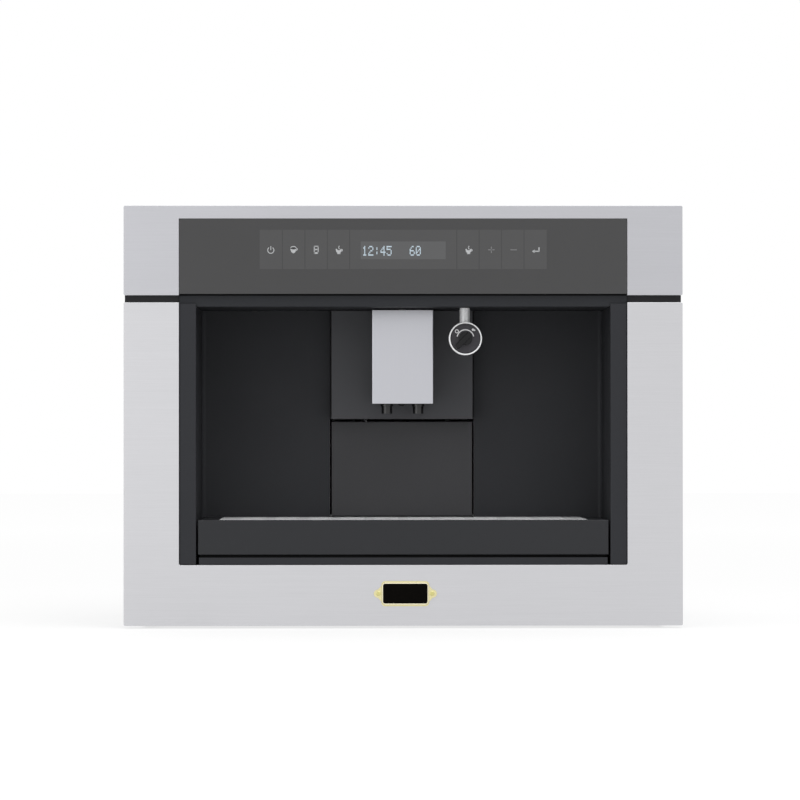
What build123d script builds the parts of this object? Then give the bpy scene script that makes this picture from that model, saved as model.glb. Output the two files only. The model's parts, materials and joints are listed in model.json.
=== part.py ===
from build123d import *
from math import cos, radians, tan
import os

# Built-in coffee machine on telescopic slides. X runs to the right seen from the front, the front
# faces -Y and Z is up. The origin is the middle of the bounding box, on the surface that the slide
# brackets stand on. Lengths are millimetres. A "depth" is a distance behind the steel front's face.

# Steel front
FRONT_WIDTH = 595.0
FRONT_LIFT = 3.0              # lower edge of the front above the surface
LOWER_FRONT_HEIGHT = 344.0
FRONT_GAP = 7.5               # dark stripe between the two steel fronts
UPPER_FRONT_HEIGHT = 95.5
FRONT_DEPTH = 18.0            # folded edges of the steel fronts
FRONT_SHEET = 1.2
FRONT_CORNER = 1.8
FRONT_EDGE = 0.4
APERTURE_WIDTH = 477.3
BOTTOM_RAIL_HEIGHT = 64.5
BULKHEAD_SHEET = 2.0
BULKHEAD_INSET = 0.3
SEAM_RIB_DEPTH = 9.0          # depth of the black rib that shows in the stripe
SEAM_RIB_INSET = 2.2

# Control glass and board
GLASS_MARGIN = 14.2           # steel above the glass
GLASS_HEIGHT = 79.8
GLASS_THICKNESS = 4.0
GLASS_GAP = 0.35
GLASS_CORNER = 1.0
BOARD_WIDTH = 300.0
BOARD_HEIGHT = 56.0
BOARD_DEPTH = 10.5
BOARD_THICKNESS = 1.6
BOARD_RISE = 7.0              # centre of the key row above the middle of the glass
DISPLAY_WIDTH = 94.0
DISPLAY_HEIGHT = 22.0
KEY_PAD_WIDTH = 18.0
KEY_PITCH = 23.8
KEY_FIRST = 67.5              # middle of the first key beside the display
KEYS_PER_SIDE = 4
SPACER_RADIUS = 3.5

# Name plate: bare dark field in a brass frame with two rivets
PLATE_OFFSET = 2.0            # to the right of the middle
PLATE_WIDTH = 50.7
PLATE_HEIGHT = 26.6
PLATE_EAR_SPAN = 67.0
PLATE_EAR_RADIUS = 4.3
PLATE_SHOULDER = 8.3          # above and below the middle, where the ears leave the body
PLATE_THICKNESS = 1.4
PLATE_CORNER = 4.0
PLATE_BELOW_APERTURE = 30.4   # middle of the plate below the aperture
FIELD_WIDTH = 47.3
FIELD_HEIGHT = 21.2
FIELD_DEPTH = 0.8
FIELD_GAP = 0.05
RIVET_PITCH = 57.0
RIVET_RADIUS = 2.45
RIVET_HEAD = 0.9
RIVET_EDGE = 0.7
RIVET_SHANK_RADIUS = 1.4
RIVET_HOLE_RADIUS = 1.5

# Cup bay
TRIM_WIDTH = 18.05            # strip beside the bay, from the steel's aperture to the bay's wall
BAY_TOP = 342.7
BAY_DEPTH = 150.0
BAY_SHEET = 2.8
BAY_CORNER = 5.0
BAY_CLEARANCE = 0.25
LIP_HEIGHT = 11.5
LIP_DEPTH = 5.0
LIP_THICKNESS = 3.0
TRIM_DEPTH = 2.5
TRIM_TOP = 345.8
TRIM_FACE = 2.3
TRIM_EDGE = 0.8

# Drip tray, cup grid and the shelf below them
TRAY_SHELF_TOP = 75.4
TRAY_SHELF_HEIGHT = 7.8
SHELF_SIDE_GAP = 3.1
TRAY_SHELF_DEPTH = 4.0
SHELF_LEG = 16.0
TRAY_SIDE_GAP = 1.95
TRAY_TOP = 115.5
TRAY_FRONT_DEPTH = 3.0
TRAY_FRONT_THICKNESS = 6.0
TRAY_FRONT_GAP = 3.0          # dark gap below the tray front
TRAY_BODY_INSET = 3.0
TRAY_RIM = 24.0
TRAY_WALL = 2.5
TRAY_FLOOR = 3.0
TRAY_DECK_FRONT = 9.0
TRAY_EDGE = 1.2
GRID_RIM = 21.65              # tray beside the grid
GRID_HEIGHT = 2.5
GRID_SEAT_GAP = 0.3           # round the grid in its recess in the tray's rim
GRID_FRONT_DEPTH = 6.0
GRID_BACK_GAP = 4.0
GRID_SHEET = 1.2
GRID_EDGE = 1.0
GRID_SLOT_LENGTH = 27.0
GRID_SLOT_WIDTH = 4.5
GRID_COLUMNS = 10
GRID_ROWS = 11

# Centre column: spout housing above, grounds drawer below
COLUMN_WIDTH = 155.0
COLUMN_SEAM = 1.8
HOUSING_DEPTH = 125.0
HOUSING_BOTTOM = 223.2
HOUSING_WALL = 2.5
HOUSING_BACK_DEPTH = 158.0
DRAWER_TOP = 220.5
DRAWER_BOTTOM = 116.2
DRAWER_FACE = 3.0
DRAWER_BIN_TOP = 204.0
DRAWER_BACK_GAP = 8.0         # behind the drawer, to the brew unit's base
DRAWER_WALL = 2.0
DRAWER_EDGE = 1.0

# Coffee spout
SPOUT_WIDTH = 66.4
SPOUT_HEIGHT = 101.0
SPOUT_TOP = 340.7
SPOUT_DEPTH = 65.0
SPOUT_SHEET = 1.2
SPOUT_RETURN = 14.0           # folded sides of the steel face
SPOUT_GAP = 0.2
SPOUT_WALL = 3.0
SPOUT_FLOOR = 14.0
NOZZLE_PITCH = 34.0
NOZZLE_RADIUS = 5.75
NOZZLE_BORE = 2.5
NOZZLE_DEPTH = 88.0
NOZZLE_BOTTOM = 229.0
NOZZLE_COLLAR_RADIUS = 6.8
NOZZLE_COLLAR = 3.0
GUIDE_PITCH = 40.0
GUIDE_WIDTH = 4.0
GUIDE_REACH = 6.0
GUIDE_GAP = 0.25
COFFEE_PIPE_RADIUS = 4.0
COFFEE_PIPE_DEPTH = 100.0
COFFEE_PIPE_END = 264.0
PIPE_LEVEL = 353.0            # height of the pipe run above the bay

# Steam and hot water tap
TAP_X = 67.0
TAP_Z = 309.2
TAP_STEM_DEPTH = 60.0
TAP_STEM_RADIUS = 5.5
TAP_STEM_TOP = 359.0
TAP_COLLAR_RADIUS = 8.5
TAP_BUSH_RADIUS = 11.0
TAP_BUSH_HEIGHT = 7.0
TAP_FRONT_DEPTH = 30.0
TAP_RADIUS = 17.8
TAP_CUP_LENGTH = 12.0
TAP_BACK_RADIUS = 12.0
TAP_BACK_DEPTH = 74.0
TAP_RING = 2.1
TAP_EDGE = 0.9
DIAL_RECESS = 3.0
DIAL_THICKNESS = 2.4
DIAL_GAP = 0.1
TAP_OUTLET_RADIUS = 4.5
TAP_OUTLET_BORE = 2.0
TAP_OUTLET_DEPTH = 64.0
TAP_OUTLET_BOTTOM = 293.5
WING_HUB_RADIUS = 7.0
WING_HUB_DEPTH = 25.0
WING_LENGTH = 22.0
WING_OFFSET = 3.5             # its longer end points down and to the left
WING_WIDTH = 5.6
WING_REACH = 3.0
WING_TURN = 45.0              # its shorter end points up and to the right
WING_SHAFT_RADIUS = 3.0
RUNNING_FIT = 0.05            # radial clearance of shafts and pins in their bores

# Case
CASE_WIDTH = 528.0
CASE_BOTTOM = 6.0
CASE_TOP = 438.0
CASE_SHEET = 1.2
CASE_FLANGE = 14.0
CASE_DEPTH = 376.0
PAN_WALL_HEIGHT = 18.0
FRAME_SHEET = 1.5
FRAME_TOP = 428.0
FRAME_SHELF_TOP = 118.0
FRAME_BACK_GAP = 6.0
FRAME_HOLE_GAP = 1.0          # round the pipe and the duct that pass the cheeks
VENT_LENGTH = 60.0
VENT_WIDTH = 4.0
VENT_PITCH = 10.0
VENT_ROWS = 8
VENT_X = 130.0
VENT_Z = 330.0
SCREW_RADIUS = 1.75
SCREW_HOLE_RADIUS = 2.0
SCREW_HEAD_RADIUS = 3.6
SCREW_HEAD = 2.0
SCREW_LENGTH = 7.0
SCREW_INSET = 7.0
SCREW_END_INSET = 28.0        # first and last screw of a row, from the ends of the case
SCREW_HOLE_LENGTH = 3.6
SCREWS_PER_SIDE = 3

# Slides and the brackets that are screwed to the cabinet
NICHE_WIDTH = 560.0
BRACKET_SHEET = 2.0
BRACKET_HEIGHT = 70.0
BRACKET_FOOT = 34.0
BRACKET_HOLE_RADIUS = 2.25
BRACKET_HOLE_INSET = 18.0     # from the niche's side
BRACKET_HOLE_PITCH = 250.0
BRACKET_TOE = 40.0            # plate in front of the foot, clear of the floor
SLIDE_FRONT_DEPTH = 28.0
SLIDE_LENGTH = 350.0
SLIDE_Z = 40.0
SLIDE_HEIGHT = 45.0
SLIDE_LIP = 10.0
OUTER_SHEET = 1.5
INNER_SHEET = 1.2
OUTER_RACE = 2.6
INNER_RACE = 2.4
MEMBER_GAP = 1.4
STRIP_GAP = 0.2
STRIP_LENGTH = 160.0
STRIP_INSET = 8.0

# Water tank and its dock
TANK_X = -185.0
TANK_WIDTH = 120.0
TANK_FRONT_DEPTH = 215.0
TANK_LENGTH = 160.0
TANK_BOTTOM = 288.2
TANK_TOP = 440.2
TANK_WALL = 2.5
TANK_CORNER = 8.0
TANK_OPENING_GAP = 4.0
VALVE_X = -222.0
VALVE_RADIUS = 9.0
VALVE_GAP = 0.3
VALVE_LENGTH = 6.0
DOCK_THICKNESS = 8.0
DOCK_SEAT_GAP = 0.2
NIPPLE_RADIUS = 5.0
NIPPLE_BORE = 2.5
NIPPLE_LENGTH = 15.0

# Bean hopper, chute for ground coffee, grinder
GRINDER_X = 180.0
HOPPER_REAR_GAP = 21.0        # behind the hopper, to the case's rear face
HOPPER_WIDTH = 110.0
HOPPER_LENGTH = 150.0
HOPPER_STRAIGHT_BOTTOM = 400.0
HOPPER_NECK_TOP = 356.0
HOPPER_NECK_SIZE = 52.0
HOPPER_OUTLET_RADIUS = 18.0
HOPPER_WALL = 2.5
HOPPER_FLANGE = 2.2
HOPPER_FLANGE_REACH = 11.0
CHUTE_X = 2.0
CHUTE_SIZE = 40.0
CHUTE_BOTTOM = 331.0
OPENING_GAP = 0.5
GRINDER_RADIUS = 46.0
GRINDER_BOTTOM = 302.0
GRINDER_TOP = 350.0
GRINDER_FLOOR = 8.0
GRINDER_ROOF = 6.0
BURR_CHAMBER_RADIUS = 26.0
BURR_TOP_RADIUS = 14.0
BURR_BOTTOM_RADIUS = 24.0
BURR_HEIGHT = 27.0
BURR_SHAFT_RADIUS = 5.0
BURR_FLUTES = 9
BURR_FLUTE_RADIUS = 2.5
BURR_FLUTE_SLOPE = 20.0
MOTOR_RADIUS = 30.0
MOTOR_LENGTH = 80.0
POWDER_CHUTE_OFFSET = 31.0    # behind the grinder's axis
POWDER_CHUTE_WIDTH = 26.0
POWDER_CHUTE_HEIGHT = 22.0
POWDER_CHUTE_END = 27.0
POWDER_CHUTE_WALL = 2.0
ADJUSTER_REACH = 72.0         # to the left of the grinder's axis
ADJUSTER_OFFSET = 16.0        # in front of it
ADJUSTER_BOX = 24.0
ADJUSTER_BOTTOM = 324.0
ADJUSTER_SHAFT_RADIUS = 3.0
ADJUSTER_SHAFT_END = 332.0
ADJUSTER_END_GAP = 1.0
ADJUSTER_KNOB_RADIUS = 12.0
ADJUSTER_KNOB_HEIGHT = 6.5
ADJUSTER_FLUTES = 12
ADJUSTER_FLUTE_RADIUS = 1.4
ADJUSTER_FLUTE_OFFSET = 0.6

# Hinged lids
LID_THICKNESS = 3.0
LID_GAP = 0.3
LID_OVERLAP = 3.0
HINGE_RADIUS = 2.8
HINGE_RISE = 3.1
HINGE_PIN_RADIUS = 1.4
EAR_WIDTH = 5.0
EAR_GAP = 0.3
EAR_INSET = 8.0

# Brew unit
BREW_AXIS_INSET = 51.0        # cylinder's axis, in front of the back wall's rear face
BREW_BORE_RADIUS = 22.0
BREW_CYLINDER_RADIUS = 28.0
BREW_CYLINDER_BOTTOM = 222.0
BREW_CYLINDER_TOP = 287.0
BREW_REAR_GAP = 10.0          # behind the brew unit, to the case's rear face
BREW_BACK_THICKNESS = 6.0
BREW_HALF_WIDTH = 52.0
BREW_BASE = 6.0
BREW_BASE_REACH = 39.0        # base in front of the cylinder's axis
BREW_WEB_START = 23.0         # behind the cylinder's axis, inside its wall
PISTON_HEAD_BOTTOM = 228.0
PISTON_HEAD = 18.0
PISTON_ROD_RADIUS = 7.0
YOKE_BOTTOM = 147.0
YOKE_HEIGHT = 12.0
YOKE_WIDTH = 22.0
SCREW_X = -40.0
LEAD_RADIUS = 5.0
LEAD_BOTTOM = 126.0
LEAD_BOSS_RADIUS = 9.0
LEAD_BOSS_TOP = 134.0
LEAD_TOP_BOSS = 10.0
JOURNAL_RADIUS = 4.0
JOURNAL_GAP = 0.2
DRIVE_WIDTH = 46.0
DRIVE_LENGTH = 60.0
DRIVE_HEIGHT = 24.0
DRIVE_SEAT_GAP = 1.0
DRIVE_MOTOR_RADIUS = 13.0
DRIVE_MOTOR_LENGTH = 40.0
BREW_FEED_Z = 242.0
BREW_OUTLET_Z = 275.0

# Heater, pump, power board and hoses
HEATER_LENGTH = 110.0
HEATER_HEIGHT = 100.0
HEATER_THICKNESS = 30.0
HEATER_BOTTOM = 150.0
HEATER_FRONT_DEPTH = 175.0
HEATER_FINS = 9
HEATER_FIN = 3.0
HEATER_FIN_REACH = 6.0
STUB_RADIUS = 4.0
STUB_LENGTH = 8.0
PUMP_X = -160.0
PUMP_Z = 60.0
PUMP_COIL = 50.0
PUMP_TUBE_RADIUS = 14.0
PUMP_TUBE_LENGTH = 72.0
PUMP_SADDLE = 12.0
PUMP_PORT_RADIUS = 5.0
PUMP_PORT_LENGTH = 8.0
HOSE_RADIUS = 4.0
HOSE_BEND = 12.0
PIPE_RADIUS = 3.0
PIPE_BEND = 12.0
POWER_X = 175.0
POWER_DEPTH = 270.0
POWER_WIDTH = 130.0
POWER_LENGTH = 140.0
POWER_Z = 24.0
POWER_SPACER_INSET = 10.0
TRANSFORMER_SIZE = (45.0, 38.0, 36.0)
RELAY_SIZE = (14.0, 28.0, 16.0)
RELAYS_FROM = 70.0            # first relay and capacitor, from the board's left edge
RELAY_PITCH = 18.0
RELAYS = 3
CAPACITOR_RADIUS = 6.0
CAPACITOR_HEIGHT = 26.0
CAPACITOR_INSET = 40.0        # from the board's rear edge

# Mains inlet module at the back
INLET_X = 200.0
INLET_Z = 75.0
INLET_WIDTH = 50.0
INLET_HEIGHT = 64.0
INLET_FLANGE = 3.0
INLET_BODY_WIDTH = 32.0
INLET_BODY_HEIGHT = 54.0
INLET_BODY_LENGTH = 26.0
SOCKET_WIDTH = 24.4
SOCKET_HEIGHT = 16.8
SOCKET_DEPTH = 17.0
SOCKET_DROP = 14.0
SOCKET_CORNER = 2.0
BLADE_PITCH = 7.0
BLADE_WIDTH = 2.0
BLADE_HEIGHT = 4.0
BLADE_LENGTH = 14.0
BLADE_STAGGER = 2.0           # the middle blade above and the others below the socket's centre
ROCKER_RISE = 13.0
ROCKER_WIDTH = 12.0
ROCKER_HEIGHT = 18.0
ROCKER_HALF_DEPTH = 4.2
ROCKER_RIDGE = 1.0            # how far the middle of its face stands before the ends
ROCKER_PIVOT = 3.0            # pivot in front of the case's rear face
ROCKER_TILT = 7.0
ROCKER_GAP = 0.8
ROCKER_WELL_DEPTH = 12.0
ROCKER_PIN_RADIUS = 1.4
ROCKER_PIN_REACH = 2.0

SAME_PLACE = 1e-6             # tolerance for picking edges by their place

# What follows from the sizes above
LOWER_FRONT_TOP = FRONT_LIFT + LOWER_FRONT_HEIGHT
UPPER_FRONT_BOTTOM = LOWER_FRONT_TOP + FRONT_GAP
FRONT_TOP = UPPER_FRONT_BOTTOM + UPPER_FRONT_HEIGHT
APERTURE_BOTTOM = FRONT_LIFT + BOTTOM_RAIL_HEIGHT
GLASS_TOP = FRONT_TOP - GLASS_MARGIN
GLASS_BOTTOM = GLASS_TOP - GLASS_HEIGHT
BAY_WIDTH = APERTURE_WIDTH - 2 * TRIM_WIDTH
TRAY_WIDTH = BAY_WIDTH - 2 * TRAY_SIDE_GAP
TRAY_SHELF_WIDTH = BAY_WIDTH - 2 * SHELF_SIDE_GAP
GRID_WIDTH = TRAY_WIDTH - 2 * GRID_RIM
BULKHEAD_BACK = FRONT_DEPTH + BULKHEAD_SHEET
REAR_DEPTH = BULKHEAD_BACK + CASE_DEPTH
GRINDER_DEPTH = REAR_DEPTH - HOPPER_REAR_GAP - HOPPER_LENGTH / 2
POWDER_CHUTE_DEPTH = GRINDER_DEPTH + POWDER_CHUTE_OFFSET
ADJUSTER_X = GRINDER_X - ADJUSTER_REACH
ADJUSTER_DEPTH = GRINDER_DEPTH - ADJUSTER_OFFSET
BREW_BACK_DEPTH = REAR_DEPTH - BREW_REAR_GAP
BREW_DEPTH = BREW_BACK_DEPTH - BREW_AXIS_INSET
BREW_FRONT_DEPTH = BREW_DEPTH - BREW_BASE_REACH
CHUTE_DEPTH = BREW_DEPTH
DRAWER_BACK_DEPTH = BREW_FRONT_DEPTH - DRAWER_BACK_GAP
NAME_PLATE_PROUD = PLATE_THICKNESS + RIVET_HEAD
TOTAL_DEPTH = NAME_PLATE_PROUD + REAR_DEPTH + INLET_FLANGE
CASE_HALF = CASE_WIDTH / 2
CASE_INSIDE = CASE_HALF - CASE_SHEET
COLUMN_HALF = COLUMN_WIDTH / 2
CORE_HALF = COLUMN_HALF + COLUMN_SEAM
CHEEK_OUTSIDE = CORE_HALF + FRAME_SHEET
PAN_TOP = CASE_BOTTOM + FRAME_SHEET
TRAY_BACK_DEPTH = BAY_DEPTH - BAY_CLEARANCE
LID_BOTTOM = CASE_TOP + HOPPER_FLANGE + LID_GAP
HINGE_Z = CASE_TOP + HOPPER_FLANGE + HINGE_RISE
NICHE_HALF = NICHE_WIDTH / 2
SLIDE_DEPTHS = (SLIDE_FRONT_DEPTH, SLIDE_FRONT_DEPTH + SLIDE_LENGTH)
HEATER_TOP = HEATER_BOTTOM + HEATER_HEIGHT
HEATER_MID_DEPTH = HEATER_FRONT_DEPTH + HEATER_THICKNESS / 2
DRIVE_BOTTOM = BREW_CYLINDER_TOP + DRIVE_SEAT_GAP
TANK_MID_DEPTH = TANK_FRONT_DEPTH + TANK_LENGTH / 2


def y_at(depth):
    """Y of a depth behind the steel front's face."""
    return NAME_PLATE_PROUD - TOTAL_DEPTH / 2 + depth


def span(middle, width):
    """Limits of a width about its middle."""
    return middle - width / 2, middle + width / 2


def across(side, near, far):
    """X limits of a stretch on one side, from its two distances to the middle."""
    return tuple(sorted((side * near, side * far)))


def block(x, depth, z):
    """Box between limits in X, in depth and in height."""
    size = (x[1] - x[0], depth[1] - depth[0], z[1] - z[0])
    return Pos(sum(x) / 2, y_at(sum(depth) / 2), sum(z) / 2) * Box(*size)


def post(x, depth, z, radius):
    """Upright cylinder between two heights."""
    return Pos(x, y_at(depth), sum(z) / 2) * Cylinder(radius, z[1] - z[0])


def spindle(x, depth, z, radius):
    """Cylinder that runs front to back between two depths."""
    return Pos(x, y_at(sum(depth) / 2), z) * Rot(90, 0, 0) * Cylinder(radius, depth[1] - depth[0])


def crossbar(x, depth, z, radius):
    """Cylinder that runs left to right between X limits."""
    return Pos(sum(x) / 2, y_at(depth), z) * Rot(0, 90, 0) * Cylinder(radius, x[1] - x[0])


def outline(x, z, corner=0.0):
    """Rectangle seen from the front, between limits, with rounded corners where asked."""
    size = (x[1] - x[0], z[1] - z[0])
    shape = RectangleRounded(*size, corner) if corner else Rectangle(*size)
    return Pos(sum(x) / 2, sum(z) / 2) * shape


def from_front(shape, depth):
    """Solid of an outline seen from the front, between two depths."""
    plane = Plane(origin=(0, y_at(depth[1]), 0), x_dir=(1, 0, 0), z_dir=(0, -1, 0))
    return extrude(plane * shape, depth[1] - depth[0])


def from_top(shape, z):
    """Solid of an outline seen from above, drawn in X and depth, between two heights."""
    plane = Plane(origin=(0, y_at(0), z[0]))
    return extrude(plane * shape, z[1] - z[0])


def round_front(solid, depth, radius):
    """Round the edges that lie in the plane at a depth."""
    edges = [e for e in solid.edges() if abs(e.bounding_box().min.Y - y_at(depth)) < SAME_PLACE
             and abs(e.bounding_box().max.Y - y_at(depth)) < SAME_PLACE]
    return fillet(edges, radius)


def tube(points, radius, bend):
    """Round hose or pipe along straight runs joined by arcs; points are (x, depth, z)."""
    corners = [Vector(x, y_at(depth), z) for x, depth, z in points]
    start, edges = corners[0], []
    for before, corner, after in zip(corners, corners[1:], corners[2:]):
        back, on = (before - corner).normalized(), (after - corner).normalized()
        half_turn = radians(180 - back.get_angle(on)) / 2
        cut = bend * tan(half_turn)
        apex = corner + (back + on).normalized() * (bend / cos(half_turn) - bend)
        edges.append(Line(start, corner + back * cut))
        edges.append(ThreePointArc(corner + back * cut, apex, corner + on * cut))
        start = corner + on * cut
    path = Wire(edges + [Line(start, corners[-1])])
    return sweep(Plane(path @ 0, z_dir=path % 0) * Circle(radius), path)


# Steel front and what is fixed in it

def folded_front(shape, inner_shape):
    """Steel sheet folded back along every edge of its outline, open at the back."""
    body = from_front(shape, (0, FRONT_DEPTH))
    body = round_front(body, 0, FRONT_EDGE)
    return body - from_front(inner_shape, (FRONT_SHEET, FRONT_DEPTH))


def lower_outline(inset):
    """U round the cup bay, drawn in by the sheet's thickness for its inside."""
    half = FRONT_WIDTH / 2 - inset
    outer = outline((-half, half), (FRONT_LIFT + inset, LOWER_FRONT_TOP - inset), FRONT_CORNER - inset)
    inner_half = APERTURE_WIDTH / 2 + inset
    notch = outline((-inner_half, inner_half), (APERTURE_BOTTOM - inset, LOWER_FRONT_TOP + FRONT_GAP))
    return outer - notch


def upper_outline(inset):
    """Upside-down U over the control glass."""
    half = FRONT_WIDTH / 2 - inset
    outer = outline((-half, half), (UPPER_FRONT_BOTTOM + inset, FRONT_TOP - inset), FRONT_CORNER - inset)
    inner_half = APERTURE_WIDTH / 2 + inset
    notch = outline((-inner_half, inner_half), (LOWER_FRONT_TOP, GLASS_TOP + GLASS_GAP + inset))
    return outer - notch


def lower_front():
    body = folded_front(lower_outline(0), lower_outline(FRONT_SHEET))
    for side in (-1, 1):
        x = PLATE_OFFSET + side * RIVET_PITCH / 2
        body -= spindle(x, (-FRONT_SHEET, 2 * FRONT_SHEET), plate_z(), RIVET_HOLE_RADIUS)
    return body


def upper_front():
    return folded_front(upper_outline(0), upper_outline(FRONT_SHEET))


def front_bulkhead():
    """Black steel plate behind both fronts, with a rib that fills the stripe between them."""
    half = FRONT_WIDTH / 2 - BULKHEAD_INSET
    z = (FRONT_LIFT + BULKHEAD_INSET, FRONT_TOP - BULKHEAD_INSET)
    plate = from_front(outline((-half, half), z, FRONT_CORNER), (FRONT_DEPTH, BULKHEAD_BACK))
    bay_half = BAY_WIDTH / 2 + BAY_SHEET + BAY_CLEARANCE
    plate -= block((-bay_half, bay_half), (FRONT_DEPTH, BULKHEAD_BACK),
                   (APERTURE_BOTTOM, BAY_TOP + LIP_THICKNESS + BAY_CLEARANCE))
    window = span(0, DISPLAY_WIDTH)
    plate -= block(window, (FRONT_DEPTH, BULKHEAD_BACK), span(board_z(), DISPLAY_HEIGHT))
    rib_z = (LOWER_FRONT_TOP + BAY_CLEARANCE, UPPER_FRONT_BOTTOM - BAY_CLEARANCE)
    for side in (-1, 1):
        rib = across(side, APERTURE_WIDTH / 2 + BAY_CLEARANCE, FRONT_WIDTH / 2 - SEAM_RIB_INSET)
        plate += block(rib, (SEAM_RIB_DEPTH, FRONT_DEPTH), rib_z)
    return plate


def control_glass():
    half = APERTURE_WIDTH / 2 - GLASS_GAP
    glass = from_front(outline((-half, half), (GLASS_BOTTOM, GLASS_TOP), GLASS_CORNER), (0, GLASS_THICKNESS))
    return round_front(glass, 0, FRONT_EDGE / 2)


def board_z():
    return (GLASS_TOP + GLASS_BOTTOM) / 2 + BOARD_RISE


def control_board():
    """Printed board with the display, the touch pads behind the glass and its spacers."""
    z = board_z()
    board = block(span(0, BOARD_WIDTH), (BOARD_DEPTH, BOARD_DEPTH + BOARD_THICKNESS), span(z, BOARD_HEIGHT))
    behind_glass = (GLASS_THICKNESS + GLASS_GAP, BOARD_DEPTH)
    board += block(span(0, DISPLAY_WIDTH), behind_glass, span(z, DISPLAY_HEIGHT))
    for side in (-1, 1):
        for key in range(KEYS_PER_SIDE):
            x = side * (KEY_FIRST + key * KEY_PITCH)
            board += block(span(x, KEY_PAD_WIDTH), behind_glass, span(z, KEY_PAD_WIDTH))
        for end in (-1, 1):
            board += spindle(side * (BOARD_WIDTH / 2 - 2 * SPACER_RADIUS), (BOARD_DEPTH, FRONT_DEPTH),
                             z + end * (BOARD_HEIGHT / 2 - 2 * SPACER_RADIUS), SPACER_RADIUS)
    return board


def plate_z():
    return APERTURE_BOTTOM - PLATE_BELOW_APERTURE


def name_plate():
    """Brass frame with an ear at each end and a pocket for the dark field."""
    body = RectangleRounded(PLATE_WIDTH, PLATE_HEIGHT, PLATE_CORNER)
    ears = SlotOverall(PLATE_EAR_SPAN, 2 * PLATE_EAR_RADIUS)
    half, ear = PLATE_WIDTH / 2, PLATE_EAR_SPAN / 2 - PLATE_EAR_RADIUS
    upper = [(ear, PLATE_EAR_RADIUS), (half, PLATE_SHOULDER)]
    upper += [(-x, z) for x, z in reversed(upper)]
    shoulders = Polygon(*upper, *[(-x, -z) for x, z in upper], align=None)
    plate = from_front(Pos(PLATE_OFFSET, plate_z()) * (body + ears + shoulders), (-PLATE_THICKNESS, 0))
    field = outline(span(PLATE_OFFSET, FIELD_WIDTH), span(plate_z(), FIELD_HEIGHT), PLATE_CORNER / 2)
    plate -= from_front(field, (-PLATE_THICKNESS, FIELD_DEPTH - PLATE_THICKNESS))
    for side in (-1, 1):
        x = PLATE_OFFSET + side * RIVET_PITCH / 2
        plate -= spindle(x, (-PLATE_THICKNESS, 0), plate_z(), RIVET_HOLE_RADIUS)
    return plate


def name_plate_field():
    field = outline(span(PLATE_OFFSET, FIELD_WIDTH - 2 * FIELD_GAP),
                    span(plate_z(), FIELD_HEIGHT - 2 * FIELD_GAP), PLATE_CORNER / 2 - FIELD_GAP)
    return from_front(field, (-PLATE_THICKNESS, FIELD_DEPTH - PLATE_THICKNESS))


def name_plate_rivets():
    rivets = []
    for side in (-1, 1):
        x = PLATE_OFFSET + side * RIVET_PITCH / 2
        head = spindle(x, (-NAME_PLATE_PROUD, -PLATE_THICKNESS), plate_z(), RIVET_RADIUS)
        head = round_front(head, -NAME_PLATE_PROUD, RIVET_EDGE)
        rivets.append(head + spindle(x, (-PLATE_THICKNESS, 2 * FRONT_SHEET), plate_z(), RIVET_SHANK_RADIUS))
    return Compound(rivets)


# Cup bay

def bay_trims():
    """Black strip at each side of the cup bay; its face stands before the top lip."""
    strips = []
    for side in (-1, 1):
        x = across(side, BAY_WIDTH / 2, APERTURE_WIDTH / 2 - BAY_CLEARANCE)
        face = block(x, (TRIM_DEPTH, TRIM_DEPTH + TRIM_FACE), (APERTURE_BOTTOM + BAY_CLEARANCE, TRIM_TOP))
        face = round_front(face, TRIM_DEPTH, TRIM_EDGE)
        strips.append(face + block(x, (TRIM_DEPTH + TRIM_FACE, FRONT_DEPTH),
                                   (APERTURE_BOTTOM + BAY_CLEARANCE, BAY_TOP - BAY_CLEARANCE)))
    return Compound(strips)


def bay_wall(side):
    """Side wall and back panel of the cup bay in one moulding, with a rounded corner between them."""
    z = (TRAY_SHELF_TOP, BAY_TOP - BAY_CLEARANCE)
    outside = across(side, CORE_HALF, BAY_WIDTH / 2 + BAY_SHEET)
    inside = across(side, CORE_HALF, BAY_WIDTH / 2)
    solid = block(outside, (FRONT_DEPTH, BAY_DEPTH + BAY_SHEET), z)
    hollow = block(inside, (FRONT_DEPTH, BAY_DEPTH), z)
    corner = [e for e in hollow.edges() if abs(abs(e.center().X) - BAY_WIDTH / 2) < SAME_PLACE
              and abs(e.center().Y - y_at(BAY_DEPTH)) < SAME_PLACE and e.length > BAY_WIDTH / 4]
    return solid - fillet(corner, BAY_CORNER)


def bay_ceiling():
    """Ceiling of the cup bay with its front lip and the bush that the tap's stem turns in."""
    half = BAY_WIDTH / 2 + BAY_SHEET
    plate = block((-half, half), (LIP_DEPTH, BAY_DEPTH + BAY_SHEET), (BAY_TOP, BAY_TOP + LIP_THICKNESS))
    lip_half = APERTURE_WIDTH / 2 - BAY_CLEARANCE
    plate += block((-lip_half, lip_half), (LIP_DEPTH, LIP_DEPTH + LIP_THICKNESS),
                   (BAY_TOP, BAY_TOP + LIP_HEIGHT))
    bush_z = (BAY_TOP, BAY_TOP + LIP_THICKNESS + TAP_BUSH_HEIGHT)
    plate += post(TAP_X, TAP_STEM_DEPTH, bush_z, TAP_BUSH_RADIUS)
    plate -= post(TAP_X, TAP_STEM_DEPTH, (BAY_TOP, FRONT_TOP), TAP_STEM_RADIUS + RUNNING_FIT)
    return plate - post(0, COFFEE_PIPE_DEPTH, (BAY_TOP, FRONT_TOP), COFFEE_PIPE_RADIUS + BAY_CLEARANCE)


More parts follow.
